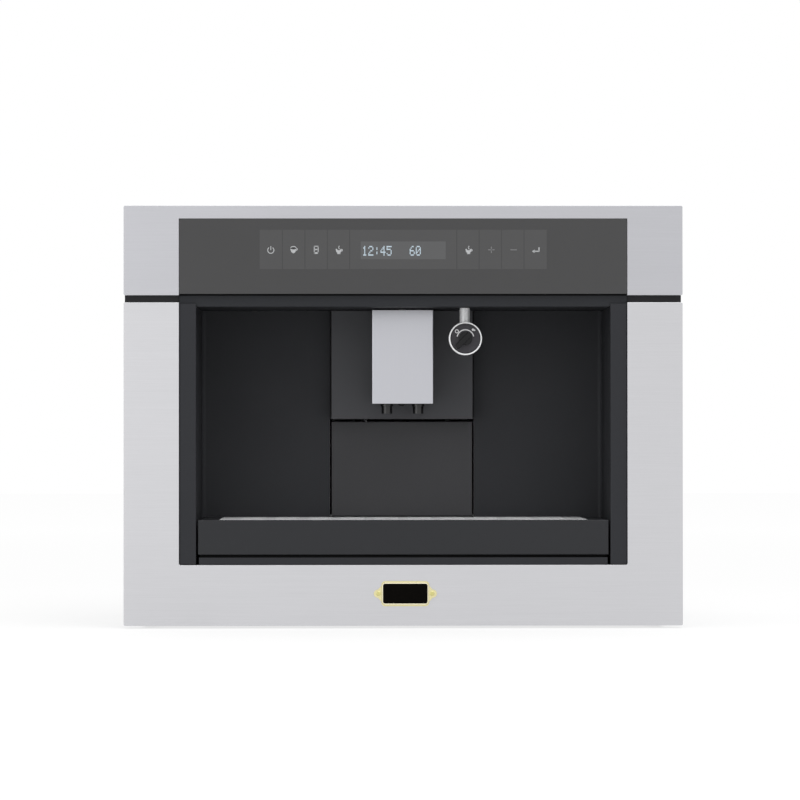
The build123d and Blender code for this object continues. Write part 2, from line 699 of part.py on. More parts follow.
def tray_shelf():
    """Shelf that the drip tray slides on; its front edge is the lowest black strip."""
    z = (TRAY_SHELF_TOP - TRAY_SHELF_HEIGHT, TRAY_SHELF_TOP)
    x = span(0, TRAY_SHELF_WIDTH)
    shelf = block(x, (TRAY_SHELF_DEPTH, BAY_DEPTH), z)
    for side in (-1, 1):
        leg = across(side, TRAY_SHELF_WIDTH / 2 - SHELF_LEG, TRAY_SHELF_WIDTH / 2)
        for depth in (2 * FRONT_DEPTH, BAY_DEPTH - SHELF_LEG):
            shelf += block(leg, (depth, depth + SHELF_LEG), (PAN_TOP, z[0]))
    return shelf


def drip_tray():
    """Tray with a double side wall, open above, and the wide black front."""
    bottom = TRAY_SHELF_TOP + BAY_CLEARANCE
    front_z = (TRAY_SHELF_TOP + TRAY_FRONT_GAP, TRAY_TOP)
    front_back = TRAY_FRONT_DEPTH + TRAY_FRONT_THICKNESS
    front = block(span(0, TRAY_WIDTH), (TRAY_FRONT_DEPTH, front_back), front_z)
    front = round_front(front, TRAY_FRONT_DEPTH, TRAY_EDGE)
    half = TRAY_WIDTH / 2 - TRAY_BODY_INSET
    body = block((-half, half), (front_back, TRAY_BACK_DEPTH), (bottom, TRAY_TOP))
    cavity_half = TRAY_WIDTH / 2 - TRAY_RIM - TRAY_WALL
    cavity = (front_back + TRAY_DECK_FRONT, TRAY_BACK_DEPTH - TRAY_WALL - GRID_BACK_GAP)
    body -= block((-cavity_half, cavity_half), cavity, (bottom + TRAY_FLOOR, TRAY_TOP))
    seat_half = GRID_WIDTH / 2 + GRID_SEAT_GAP
    for side in (-1, 1):
        pocket = across(side, seat_half + TRAY_WALL, half - TRAY_WALL)
        pocket_depth = (front_back + TRAY_WALL, TRAY_BACK_DEPTH - TRAY_WALL)
        body -= block(pocket, pocket_depth, (bottom, TRAY_TOP - TRAY_WALL))
    seat_depth = grown(grid_depth(), GRID_SEAT_GAP)
    return front + body - block((-seat_half, seat_half), seat_depth, (TRAY_TOP - GRID_HEIGHT, TRAY_TOP))


def grid_depth():
    return GRID_FRONT_DEPTH, TRAY_BACK_DEPTH - GRID_BACK_GAP


def cup_grid():
    """Pressed steel grid that lies flush in the tray's rim, with rows of long slots."""
    x, depth = span(0, GRID_WIDTH), grid_depth()
    bottom, top = TRAY_TOP - GRID_HEIGHT, TRAY_TOP
    grid = block(x, depth, (bottom, top))
    upper = [e for e in grid.edges() if abs(e.center().Z - top) < SAME_PLACE]
    grid = chamfer(upper, GRID_EDGE)
    rim = 2 * GRID_SHEET
    grid -= block((x[0] + rim, x[1] - rim), (depth[0] + rim, depth[1] - rim), (bottom, top - GRID_SHEET))
    pitch_x = GRID_WIDTH / (GRID_COLUMNS + 1)
    pitch_depth = (depth[1] - depth[0]) / GRID_ROWS
    slots = Sketch()
    for column in range(GRID_COLUMNS):
        for row in range(GRID_ROWS):
            centre = (x[0] + (column + 1) * pitch_x, depth[0] + (row + 0.5) * pitch_depth)
            slots += Pos(*centre) * SlotOverall(GRID_SLOT_LENGTH, GRID_SLOT_WIDTH)
    return grid - from_top(slots, (bottom, top))


def grounds_drawer():
    """Drawer for spent grounds; its front is the lower block of the centre column."""
    face = block(span(0, COLUMN_WIDTH), (BAY_DEPTH, BAY_DEPTH + DRAWER_FACE), (DRAWER_BOTTOM, DRAWER_TOP))
    face = round_front(face, BAY_DEPTH, DRAWER_EDGE)
    half = COLUMN_HALF - BAY_CLEARANCE
    depth = (BAY_DEPTH + DRAWER_FACE, DRAWER_BACK_DEPTH)
    bottom = FRAME_SHELF_TOP + BAY_CLEARANCE
    body = block((-half, half), depth, (bottom, DRAWER_BIN_TOP))
    hollow = block((-half + DRAWER_WALL, half - DRAWER_WALL), (depth[0], depth[1] - DRAWER_WALL),
                   (bottom + DRAWER_WALL, DRAWER_BIN_TOP))
    return face + (body - hollow)


def spout_housing():
    """Hollow block above the drawer, with the two ribs that guide the spout."""
    z = (HOUSING_BOTTOM, BAY_TOP - BAY_CLEARANCE)
    body = block(span(0, COLUMN_WIDTH), (HOUSING_DEPTH, HOUSING_BACK_DEPTH), z)
    body = round_front(body, HOUSING_DEPTH, DRAWER_EDGE)
    flange_front = HOUSING_BACK_DEPTH - HOUSING_WALL
    body += block((-CHEEK_OUTSIDE, CHEEK_OUTSIDE), (flange_front, HOUSING_BACK_DEPTH), z)
    half = COLUMN_HALF - HOUSING_WALL
    body -= block((-half, half), (HOUSING_DEPTH + HOUSING_WALL, HOUSING_BACK_DEPTH),
                  (z[0] + HOUSING_WALL, z[1] - HOUSING_WALL))
    ribs_z = (SPOUT_TOP - SPOUT_HEIGHT + NOZZLE_COLLAR, SPOUT_TOP)
    for side in (-1, 1):
        rib = span(side * GUIDE_PITCH / 2, GUIDE_WIDTH)
        body += block(rib, (HOUSING_DEPTH - GUIDE_REACH, HOUSING_DEPTH), ribs_z)
    return body


# Coffee spout

def spout_body():
    """Black spout with a funnel inside, two nozzles and the grooves that run on the housing's ribs."""
    half = SPOUT_WIDTH / 2 - SPOUT_SHEET - SPOUT_GAP
    z = (SPOUT_TOP - SPOUT_HEIGHT + SPOUT_GAP, SPOUT_TOP - SPOUT_GAP)
    depth = (SPOUT_DEPTH + SPOUT_SHEET + SPOUT_GAP, HOUSING_DEPTH - GUIDE_GAP)
    body = block((-half, half), depth, z)
    floor = z[0] + SPOUT_FLOOR
    inner_back = depth[1] - GUIDE_REACH - SPOUT_WALL
    body -= block((-half + SPOUT_WALL, half - SPOUT_WALL), (depth[0] + SPOUT_WALL, inner_back), (floor, z[1]))
    for side in (-1, 1):
        groove = span(side * GUIDE_PITCH / 2, GUIDE_WIDTH + 2 * GUIDE_GAP)
        body -= block(groove, (depth[1] - GUIDE_REACH, depth[1]), z)
        x = side * NOZZLE_PITCH / 2
        body += post(x, NOZZLE_DEPTH, (z[0] - NOZZLE_COLLAR, z[0]), NOZZLE_COLLAR_RADIUS)
        body += post(x, NOZZLE_DEPTH, (NOZZLE_BOTTOM, z[0]), NOZZLE_RADIUS)
        body -= post(x, NOZZLE_DEPTH, (NOZZLE_BOTTOM, floor), NOZZLE_BORE)
    return body


def spout_face():
    """Steel face of the spout, folded back along its sides."""
    z = (SPOUT_TOP - SPOUT_HEIGHT, SPOUT_TOP)
    body = block(span(0, SPOUT_WIDTH), (SPOUT_DEPTH, SPOUT_DEPTH + SPOUT_RETURN), z)
    uprights = body.edges().filter_by(Axis.Z).sort_by(Axis.Y)[:2]
    body = fillet(uprights, SPOUT_SHEET)
    inside = SPOUT_WIDTH / 2 - SPOUT_SHEET
    return body - block((-inside, inside), (SPOUT_DEPTH + SPOUT_SHEET, SPOUT_DEPTH + SPOUT_RETURN), z)


# Steam and hot water tap

def tap_body():
    """Stem that turns in the bay's ceiling, and the valve cup with its bright ring."""
    shape = spindle(TAP_X, (TAP_FRONT_DEPTH, TAP_FRONT_DEPTH + TAP_CUP_LENGTH), TAP_Z, TAP_RADIUS)
    shape = round_front(shape, TAP_FRONT_DEPTH, TAP_EDGE)
    back = Cone(TAP_BACK_RADIUS, TAP_RADIUS, TAP_BACK_DEPTH - TAP_FRONT_DEPTH - TAP_CUP_LENGTH)
    middle = (TAP_BACK_DEPTH + TAP_FRONT_DEPTH + TAP_CUP_LENGTH) / 2
    shape += Pos(TAP_X, y_at(middle), TAP_Z) * Rot(90, 0, 0) * back
    shape += post(TAP_X, TAP_STEM_DEPTH, (TAP_Z, TAP_STEM_TOP), TAP_STEM_RADIUS)
    collar = BAY_TOP + LIP_THICKNESS + TAP_BUSH_HEIGHT + BAY_CLEARANCE
    shape += post(TAP_X, TAP_STEM_DEPTH, (collar, collar + LIP_THICKNESS), TAP_COLLAR_RADIUS)
    shape += post(TAP_X, TAP_OUTLET_DEPTH, (TAP_OUTLET_BOTTOM, TAP_Z), TAP_OUTLET_RADIUS)
    shape -= post(TAP_X, TAP_OUTLET_DEPTH, (TAP_OUTLET_BOTTOM, TAP_Z - TAP_OUTLET_RADIUS), TAP_OUTLET_BORE)
    recess = (TAP_FRONT_DEPTH, TAP_FRONT_DEPTH + DIAL_RECESS)
    shape -= spindle(TAP_X, recess, TAP_Z, TAP_RADIUS - TAP_RING)
    bore = (TAP_FRONT_DEPTH, TAP_FRONT_DEPTH + TAP_CUP_LENGTH)
    return shape - spindle(TAP_X, bore, TAP_Z, WING_SHAFT_RADIUS + RUNNING_FIT)


def tap_dial():
    """Black dial face in the ring; the wing's shaft passes through it."""
    depth = (TAP_FRONT_DEPTH + DIAL_RECESS - DIAL_THICKNESS, TAP_FRONT_DEPTH + DIAL_RECESS)
    disc = spindle(TAP_X, depth, TAP_Z, TAP_RADIUS - TAP_RING - DIAL_GAP)
    return disc - spindle(TAP_X, depth, TAP_Z, WING_SHAFT_RADIUS + RUNNING_FIT)


def tap_wing():
    """Wing knob that opens the valve."""
    face = TAP_FRONT_DEPTH + DIAL_RECESS - DIAL_THICKNESS - DIAL_GAP
    wing = spindle(TAP_X, (WING_HUB_DEPTH, face), TAP_Z, WING_HUB_RADIUS)
    wing = round_front(wing, WING_HUB_DEPTH, TAP_EDGE)
    bar = SlotOverall(WING_LENGTH, WING_WIDTH)
    bar = Pos(TAP_X, TAP_Z) * Rot(0, 0, WING_TURN) * Pos(-WING_OFFSET, 0) * bar
    bar = from_front(bar, (WING_HUB_DEPTH - WING_REACH, face))
    wing += round_front(bar, WING_HUB_DEPTH - WING_REACH, TAP_EDGE)
    shaft_end = TAP_FRONT_DEPTH + TAP_CUP_LENGTH - DIAL_GAP
    return wing + spindle(TAP_X, (face, shaft_end), TAP_Z, WING_SHAFT_RADIUS)


# Case

def base_pan():
    half = CASE_INSIDE
    depth = (BULKHEAD_BACK, REAR_DEPTH - CASE_SHEET)
    pan = block((-half, half), depth, (CASE_BOTTOM, CASE_BOTTOM + PAN_WALL_HEIGHT))
    inset = (depth[0] + FRAME_SHEET, depth[1] - FRAME_SHEET)
    return pan - block((-half + FRAME_SHEET, half - FRAME_SHEET), inset,
                       (PAN_TOP, CASE_BOTTOM + PAN_WALL_HEIGHT))


def screw_depths():
    """Places of the top screws along the case."""
    first, last = BULKHEAD_BACK + SCREW_END_INSET, REAR_DEPTH - SCREW_END_INSET
    return [first + n * (last - first) / (SCREWS_PER_SIDE - 1) for n in range(SCREWS_PER_SIDE)]


def screw_heights():
    """Places of the rear screws up the case."""
    first, last = CASE_BOTTOM + SCREW_END_INSET, CASE_TOP - SCREW_END_INSET
    return [first + n * (last - first) / (SCREWS_PER_SIDE - 1) for n in range(SCREWS_PER_SIDE)]


def screw_x():
    return CASE_INSIDE - SCREW_INSET


def screw_holes(radius):
    """Upright and level pins where the case screws pass."""
    pins = Part()
    for side in (-1, 1):
        for depth in screw_depths():
            pins += post(side * screw_x(), depth, (CASE_TOP - SCREW_HOLE_LENGTH, CASE_TOP), radius)
        for z in screw_heights():
            pins += spindle(side * screw_x(), (REAR_DEPTH - SCREW_HOLE_LENGTH, REAR_DEPTH), z, radius)
    return pins


def side_panel(side):
    """Side sheet with folded flanges at the front, the rear and the top."""
    z = (CASE_BOTTOM, CASE_TOP - CASE_SHEET)
    depth = (BULKHEAD_BACK, REAR_DEPTH - CASE_SHEET)
    panel = block(across(side, CASE_INSIDE, CASE_HALF), depth, z)
    flange_x = across(side, CASE_INSIDE - CASE_FLANGE, CASE_INSIDE)
    above_pan = (CASE_BOTTOM + PAN_WALL_HEIGHT, z[1])
    panel += block(flange_x, (depth[0], depth[0] + CASE_SHEET), above_pan)
    panel += block(flange_x, (depth[1] - CASE_SHEET, depth[1]), above_pan)
    panel += block(flange_x, depth, (z[1] - CASE_SHEET, z[1]))
    return panel - screw_holes(SCREW_HOLE_RADIUS)


def inlet_window(gap):
    """Inlet module's body, seen from the rear, with a gap round it."""
    return span(INLET_X, INLET_BODY_WIDTH + 2 * gap), span(INLET_Z, INLET_BODY_HEIGHT + 2 * gap)


def rear_panel():
    depth = (REAR_DEPTH - CASE_SHEET, REAR_DEPTH)
    panel = block((-CASE_HALF, CASE_HALF), depth, (CASE_BOTTOM, CASE_TOP - CASE_SHEET))
    vents = Sketch()
    for side in (-1, 1):
        for row in range(VENT_ROWS):
            z = VENT_Z + (row - (VENT_ROWS - 1) / 2) * VENT_PITCH
            vents += Pos(side * VENT_X, z) * SlotOverall(VENT_LENGTH, VENT_WIDTH)
    panel -= from_front(vents, depth)
    x, z = inlet_window(BAY_CLEARANCE)
    return panel - block(x, depth, z) - screw_holes(SCREW_HOLE_RADIUS)


def hopper_x():
    return span(GRINDER_X, HOPPER_WIDTH)


def hopper_depth():
    return span(GRINDER_DEPTH, HOPPER_LENGTH)


def grown(limits, by):
    """Limits moved apart by an amount at both ends."""
    return limits[0] - by, limits[1] + by


def top_cover():
    """Top sheet with openings for the tank, the hopper, the chute and the grind dial."""
    z = (CASE_TOP - CASE_SHEET, CASE_TOP)
    cover = block((-CASE_HALF, CASE_HALF), (BULKHEAD_BACK, REAR_DEPTH), z)
    tank_depth = (TANK_FRONT_DEPTH, TANK_FRONT_DEPTH + TANK_LENGTH)
    cover -= block(grown(span(TANK_X, TANK_WIDTH), TANK_OPENING_GAP), grown(tank_depth, TANK_OPENING_GAP), z)
    cover -= block(grown(hopper_x(), OPENING_GAP), grown(hopper_depth(), OPENING_GAP), z)
    cover -= block(grown(chute_x(), OPENING_GAP), grown(chute_depth(), OPENING_GAP), z)
    cover -= post(ADJUSTER_X, ADJUSTER_DEPTH, z, 2 * ADJUSTER_SHAFT_RADIUS)
    return cover - screw_holes(SCREW_HOLE_RADIUS)


def case_screws():
    screws = []
    for side in (-1, 1):
        x = side * screw_x()
        for depth in screw_depths():
            head = post(x, depth, (CASE_TOP, CASE_TOP + SCREW_HEAD), SCREW_HEAD_RADIUS)
            screws.append(head + post(x, depth, (CASE_TOP - SCREW_LENGTH, CASE_TOP), SCREW_RADIUS))
        for z in screw_heights():
            head = spindle(x, (REAR_DEPTH, REAR_DEPTH + SCREW_HEAD), z, SCREW_HEAD_RADIUS)
            screws.append(head + spindle(x, (REAR_DEPTH - SCREW_LENGTH, REAR_DEPTH), z, SCREW_RADIUS))
    return Compound(screws)


def inner_frame():
    """Two cheeks on the base pan with a shelf between them, which carry the brew unit and the grinder."""
    depth = (HOUSING_BACK_DEPTH, REAR_DEPTH - CASE_SHEET - FRAME_BACK_GAP)
    frame = block((-CORE_HALF, CORE_HALF), depth, (FRAME_SHELF_TOP - FRAME_SHEET, FRAME_SHELF_TOP))
    window_z = (PAN_TOP + 2 * CASE_FLANGE, FRAME_SHELF_TOP - CASE_FLANGE)
    for side in (-1, 1):
        x = across(side, CORE_HALF, CHEEK_OUTSIDE)
        cheek = block(x, depth, (PAN_TOP, FRAME_TOP))
        cheek -= block(x, grown(depth, -2 * CASE_FLANGE), window_z)
        foot = across(side, CHEEK_OUTSIDE, CHEEK_OUTSIDE + CASE_FLANGE)
        frame += cheek + block(foot, depth, (PAN_TOP, PAN_TOP + FRAME_SHEET))
    duct_depth = grown(span(POWDER_CHUTE_DEPTH, POWDER_CHUTE_WIDTH), FRAME_HOLE_GAP)
    duct_z = grown(span(powder_chute_z(CORE_HALF), POWDER_CHUTE_HEIGHT), 2 * FRAME_HOLE_GAP)
    frame -= block((CORE_HALF, CHEEK_OUTSIDE), duct_depth, duct_z)
    feed_radius = PIPE_RADIUS + FRAME_HOLE_GAP
    return frame - crossbar((-CHEEK_OUTSIDE, -CORE_HALF), feed_depth(), feed_level(), feed_radius)


# Slides

def niche_bracket(side):
    """Angle that stands on the cabinet floor and carries the slide."""
    depth = grown(SLIDE_DEPTHS, 2 * BRACKET_SHEET)
    plate = across(side, NICHE_HALF - BRACKET_SHEET, NICHE_HALF)
    bracket = block(plate, depth, (BRACKET_SHEET, BRACKET_HEIGHT))
    foot_depth = (depth[0] + BRACKET_TOE, depth[1])
    bracket += block(across(side, NICHE_HALF - BRACKET_FOOT, NICHE_HALF), foot_depth, (0, BRACKET_SHEET))
    x = side * (NICHE_HALF - BRACKET_HOLE_INSET)
    for hole_depth in span(sum(SLIDE_DEPTHS) / 2, BRACKET_HOLE_PITCH):
        bracket -= post(x, hole_depth, (0, BRACKET_SHEET), BRACKET_HOLE_RADIUS)
    return bracket


def channel(side, back, toe, half_height, sheet):
    """C-section along the slide, from its back to its toes, which are distances from the middle."""
    web = back + sheet if toe > back else back - sheet
    beyond = toe + sheet if toe > back else toe - sheet
    solid = block(across(side, back, toe), SLIDE_DEPTHS, span(SLIDE_Z, 2 * half_height))
    return solid - block(across(side, web, beyond), SLIDE_DEPTHS, span(SLIDE_Z, 2 * (half_height - sheet)))


OUTER_BACK = NICHE_HALF - BRACKET_SHEET
OUTER_HALF = SLIDE_HEIGHT / 2
MIDDLE_BACK = OUTER_BACK - OUTER_SHEET - MEMBER_GAP
MIDDLE_HALF = OUTER_HALF - OUTER_SHEET - OUTER_RACE
MIDDLE_TOE = CASE_HALF + INNER_SHEET + MEMBER_GAP
INNER_HALF = MIDDLE_HALF - INNER_SHEET - INNER_RACE
INNER_TOE = MIDDLE_BACK - INNER_SHEET - MEMBER_GAP


def outer_slide(side):
    return channel(side, OUTER_BACK, OUTER_BACK - SLIDE_LIP, OUTER_HALF, OUTER_SHEET)


def middle_slide(side):
    return channel(side, MIDDLE_BACK, MIDDLE_TOE, MIDDLE_HALF, INNER_SHEET)


def inner_slide(side):
    return channel(side, CASE_HALF, INNER_TOE, INNER_HALF, INNER_SHEET)


def slide_bearings():
    """Bearing strips between the members of both slides."""
    strips = []
    rear = (SLIDE_DEPTHS[1] - STRIP_INSET - STRIP_LENGTH, SLIDE_DEPTHS[1] - STRIP_INSET)
    front = (SLIDE_DEPTHS[0] + STRIP_INSET, SLIDE_DEPTHS[0] + STRIP_INSET + STRIP_LENGTH)
    outer_x = (OUTER_BACK - SLIDE_LIP + STRIP_GAP, MIDDLE_BACK)
    inner_x = (MIDDLE_TOE + STRIP_GAP, INNER_TOE - STRIP_GAP)
    for side in (-1, 1):
        for up in (-1, 1):
            outer_race = grown((MIDDLE_HALF, MIDDLE_HALF + OUTER_RACE), -STRIP_GAP)
            inner_race = grown((INNER_HALF, INNER_HALF + INNER_RACE), -STRIP_GAP)
            outer_z = sorted(SLIDE_Z + up * height for height in outer_race)
            inner_z = sorted(SLIDE_Z + up * height for height in inner_race)
            strips.append(block(across(side, *outer_x), rear, outer_z))
            strips.append(block(across(side, *inner_x), front, inner_z))
    return Compound(strips)


# Water tank

def hinge_ears(x, axis_depth, base):
    """Two ears that a lid's pins turn in."""
    ears = Part()
    for edge, side in zip(x, (-1, 1)):
        inner = edge - side * EAR_INSET
        ear = (min(inner, inner + side * EAR_WIDTH), max(inner, inner + side * EAR_WIDTH))
        ears += block(ear, span(axis_depth, 2 * HINGE_RADIUS), (base, HINGE_Z))
        ears += crossbar(ear, axis_depth, HINGE_Z, HINGE_RADIUS)
        ears -= crossbar(grown(ear, EAR_GAP), axis_depth, HINGE_Z, HINGE_PIN_RADIUS + RUNNING_FIT)
    return ears


def hinged_lid(x, depth):
    """Flat lid with a barrel along its rear edge and a pin at each end; depth[1] is the hinge's axis."""
    plate = block(x, (depth[0], depth[1] - HINGE_RADIUS - EAR_GAP), (LID_BOTTOM, LID_BOTTOM + LID_THICKNESS))
    plate = round_top(plate, LID_THICKNESS / 3)
    between = (x[0] + EAR_INSET + EAR_GAP, x[1] - EAR_INSET - EAR_GAP)
    plate += block(between, (depth[1] - 2 * HINGE_RADIUS, depth[1]), (LID_BOTTOM, LID_BOTTOM + LID_THICKNESS))
    plate += crossbar(between, depth[1], HINGE_Z, HINGE_RADIUS)
    pins = (x[0] + EAR_INSET - EAR_WIDTH, x[1] - EAR_INSET + EAR_WIDTH)
    return plate + crossbar(pins, depth[1], HINGE_Z, HINGE_PIN_RADIUS)


def round_top(solid, radius):
    """Round the edges of a solid's upper face."""
    return fillet(solid.faces().sort_by(Axis.Z)[-1].edges(), radius)


def tank_lid_x():
    return span(TANK_X, TANK_WIDTH)


def tank_hinge_depth():
    return TANK_FRONT_DEPTH + TANK_LENGTH - TANK_WALL - HINGE_RADIUS


def water_tank():
    """Clear tank, open above, with the valve stub that plugs into the dock."""
    x = span(TANK_X, TANK_WIDTH)
    depth = (TANK_FRONT_DEPTH, TANK_FRONT_DEPTH + TANK_LENGTH)
    tank = block(x, depth, (TANK_BOTTOM, TANK_TOP))
    tank = fillet(tank.edges().filter_by(Axis.Z), TANK_CORNER)
    hollow = block(grown(x, -TANK_WALL), grown(depth, -TANK_WALL), (TANK_BOTTOM + TANK_WALL, TANK_TOP))
    hollow = fillet(hollow.edges().filter_by(Axis.Z), TANK_CORNER - TANK_WALL)
    bridge_front = tank_hinge_depth() - HINGE_RADIUS - TANK_WALL
    bridge = block(x, (bridge_front, depth[1]), (TANK_TOP - TANK_WALL, TANK_TOP)) & tank
    tank = tank - hollow + bridge
    tank += hinge_ears(x, tank_hinge_depth(), TANK_TOP)
    tank += post(VALVE_X, TANK_MID_DEPTH, (TANK_BOTTOM - VALVE_LENGTH, TANK_BOTTOM), VALVE_RADIUS)
    bore_z = (TANK_BOTTOM - VALVE_LENGTH, TANK_BOTTOM + TANK_WALL)
    return tank - post(VALVE_X, TANK_MID_DEPTH, bore_z, NIPPLE_BORE)


def tank_lid():
    return hinged_lid(tank_lid_x(), (TANK_FRONT_DEPTH, tank_hinge_depth()))


def dock_top():
    return TANK_BOTTOM - DOCK_SEAT_GAP


def tank_dock():
    """Shelf between the left side panel and the frame, with the seat for the tank's valve."""
    depth = (TANK_FRONT_DEPTH, TANK_FRONT_DEPTH + TANK_LENGTH)
    z = (dock_top() - DOCK_THICKNESS, dock_top())
    dock = block((-CASE_INSIDE, -CHEEK_OUTSIDE), depth, z)
    seat_z = (TANK_BOTTOM - VALVE_LENGTH - VALVE_GAP, z[1])
    dock -= post(VALVE_X, TANK_MID_DEPTH, seat_z, VALVE_RADIUS + VALVE_GAP)
    dock += post(VALVE_X, TANK_MID_DEPTH, (z[0] - NIPPLE_LENGTH, z[0]), NIPPLE_RADIUS)
    return dock - post(VALVE_X, TANK_MID_DEPTH, (z[0] - NIPPLE_LENGTH, z[1]), NIPPLE_BORE)


# Beans and grinder

def hopper_hinge_depth():
    return hopper_depth()[1] + HOPPER_FLANGE_REACH - HINGE_RADIUS


def chute_hinge_depth():
    return CHUTE_DEPTH + CHUTE_SIZE / 2 + HOPPER_FLANGE_REACH - HINGE_RADIUS


def funnel(width, length, neck):
    """Straight-sided bin that narrows to a square neck over the grinder."""
    bin_x, bin_depth = span(GRINDER_X, width), span(GRINDER_DEPTH, length)
    straight = block(bin_x, bin_depth, (HOPPER_STRAIGHT_BOTTOM, CASE_TOP))
    wide = Plane(origin=(GRINDER_X, y_at(GRINDER_DEPTH), HOPPER_STRAIGHT_BOTTOM)) * Rectangle(width, length)
    narrow = Plane(origin=(GRINDER_X, y_at(GRINDER_DEPTH), HOPPER_NECK_TOP)) * Rectangle(neck, neck)
    return straight + loft([narrow, wide], ruled=True)


def bean_hopper():
    """Bean bin that stands over the grinder and fills the top cover's opening."""
    hopper = funnel(HOPPER_WIDTH, HOPPER_LENGTH, HOPPER_NECK_SIZE)
    hopper += post(GRINDER_X, GRINDER_DEPTH, (GRINDER_TOP, HOPPER_NECK_TOP), HOPPER_OUTLET_RADIUS)
    walls = 2 * HOPPER_WALL
    bore = HOPPER_OUTLET_RADIUS - HOPPER_WALL
    hopper -= funnel(HOPPER_WIDTH - walls, HOPPER_LENGTH - walls, 2 * bore)
    return hopper - post(GRINDER_X, GRINDER_DEPTH, (GRINDER_TOP, HOPPER_STRAIGHT_BOTTOM), bore)


def chute_x():
    return span(CHUTE_X, CHUTE_SIZE)


def chute_depth():
    return span(CHUTE_DEPTH, CHUTE_SIZE)


def coffee_chute():
    """Square chute that takes ground coffee from the top cover down to the brew unit."""
    z = (CHUTE_BOTTOM, CASE_TOP)
    inside = block(grown(chute_x(), -HOPPER_WALL), grown(chute_depth(), -HOPPER_WALL), z)
    return block(chute_x(), chute_depth(), z) - inside


def filling_deck():
    """Plate over the bin and the chute, with the ears of both lids and a pad for the grind dial."""
    z = (CASE_TOP, CASE_TOP + HOPPER_FLANGE)
    reach = HOPPER_FLANGE_REACH
    deck = block(grown(hopper_x(), reach), grown(hopper_depth(), reach), z)
    deck += block((chute_x()[0] - reach, hopper_x()[0]), grown(chute_depth(), reach), z)
    deck += post(ADJUSTER_X, ADJUSTER_DEPTH, z, ADJUSTER_KNOB_RADIUS + HOPPER_FLANGE)
    deck -= block(grown(hopper_x(), -HOPPER_WALL), grown(hopper_depth(), -HOPPER_WALL), z)
    deck -= block(grown(chute_x(), -HOPPER_WALL), grown(chute_depth(), -HOPPER_WALL), z)
    deck += hinge_ears(grown(hopper_x(), LID_OVERLAP), hopper_hinge_depth(), z[1])
    deck += hinge_ears(grown(chute_x(), LID_OVERLAP), chute_hinge_depth(), z[1])
    return deck - post(ADJUSTER_X, ADJUSTER_DEPTH, z, ADJUSTER_SHAFT_RADIUS + RUNNING_FIT)


def hopper_lid():
    front = hopper_depth()[0] - LID_OVERLAP
    return hinged_lid(grown(hopper_x(), LID_OVERLAP), (front, hopper_hinge_depth()))


def chute_lid():
    return hinged_lid(grown(chute_x(), LID_OVERLAP), (chute_depth()[0] - LID_OVERLAP, chute_hinge_depth()))


def powder_chute_z(x):
    """Middle height of the sloping chute at a place across, from the grinder down to the brew unit."""
    start, end = GRINDER_X - BURR_CHAMBER_RADIUS, POWDER_CHUTE_END
    high = GRINDER_BOTTOM + GRINDER_FLOOR + POWDER_CHUTE_HEIGHT / 2
    low = BREW_CYLINDER_TOP + BAY_CLEARANCE + POWDER_CHUTE_HEIGHT / 2
    return low + (high - low) * (x - end) / (start - end)


def powder_chute(start, inset):
    """Sloping duct seen from the front, drawn in by its wall for the inside."""
    half = POWDER_CHUTE_HEIGHT / 2 - inset
    corners = [(start, powder_chute_z(start) - half), (start, powder_chute_z(start) + half),
               (POWDER_CHUTE_END, powder_chute_z(POWDER_CHUTE_END) + half),
               (POWDER_CHUTE_END, powder_chute_z(POWDER_CHUTE_END) - half)]
    width = POWDER_CHUTE_WIDTH - 2 * inset
    return from_front(make_face(Polyline(*corners, close=True)), span(POWDER_CHUTE_DEPTH, width))


def grinder_housing():
    """Grinder with its motor below, the sloping powder chute and the box of the grind adjuster."""
    z = (GRINDER_BOTTOM, GRINDER_TOP)
    body = post(GRINDER_X, GRINDER_DEPTH, z, GRINDER_RADIUS)
    start = GRINDER_X - BURR_CHAMBER_RADIUS
    body += powder_chute(start, 0)
    body += block((ADJUSTER_X - ADJUSTER_BOX / 2, GRINDER_X - BURR_CHAMBER_RADIUS - HOPPER_WALL),
                  span(ADJUSTER_DEPTH, ADJUSTER_BOX), (ADJUSTER_BOTTOM, z[1]))
    foot = GRINDER_BOTTOM - FRAME_SHEET
    arm_depth = span(GRINDER_DEPTH, 2 * MOTOR_RADIUS)
    body += block((CHEEK_OUTSIDE, GRINDER_X), arm_depth, (foot - FRAME_SHEET, foot))
    body += post(GRINDER_X, GRINDER_DEPTH, (foot - MOTOR_LENGTH, z[0]), MOTOR_RADIUS)
    chamber = (z[0] + GRINDER_FLOOR, z[1] - GRINDER_ROOF)
    body -= post(GRINDER_X, GRINDER_DEPTH, chamber, BURR_CHAMBER_RADIUS)
    body -= powder_chute(start + HOPPER_WALL, POWDER_CHUTE_WALL)
    body -= post(GRINDER_X, GRINDER_DEPTH, (chamber[1], z[1]), HOPPER_OUTLET_RADIUS - HOPPER_WALL)
    body -= post(GRINDER_X, GRINDER_DEPTH, (foot, chamber[0]), BURR_SHAFT_RADIUS + RUNNING_FIT)
    bore_z = (ADJUSTER_SHAFT_END - ADJUSTER_END_GAP, z[1])
    return body - post(ADJUSTER_X, ADJUSTER_DEPTH, bore_z, ADJUSTER_SHAFT_RADIUS + RUNNING_FIT)


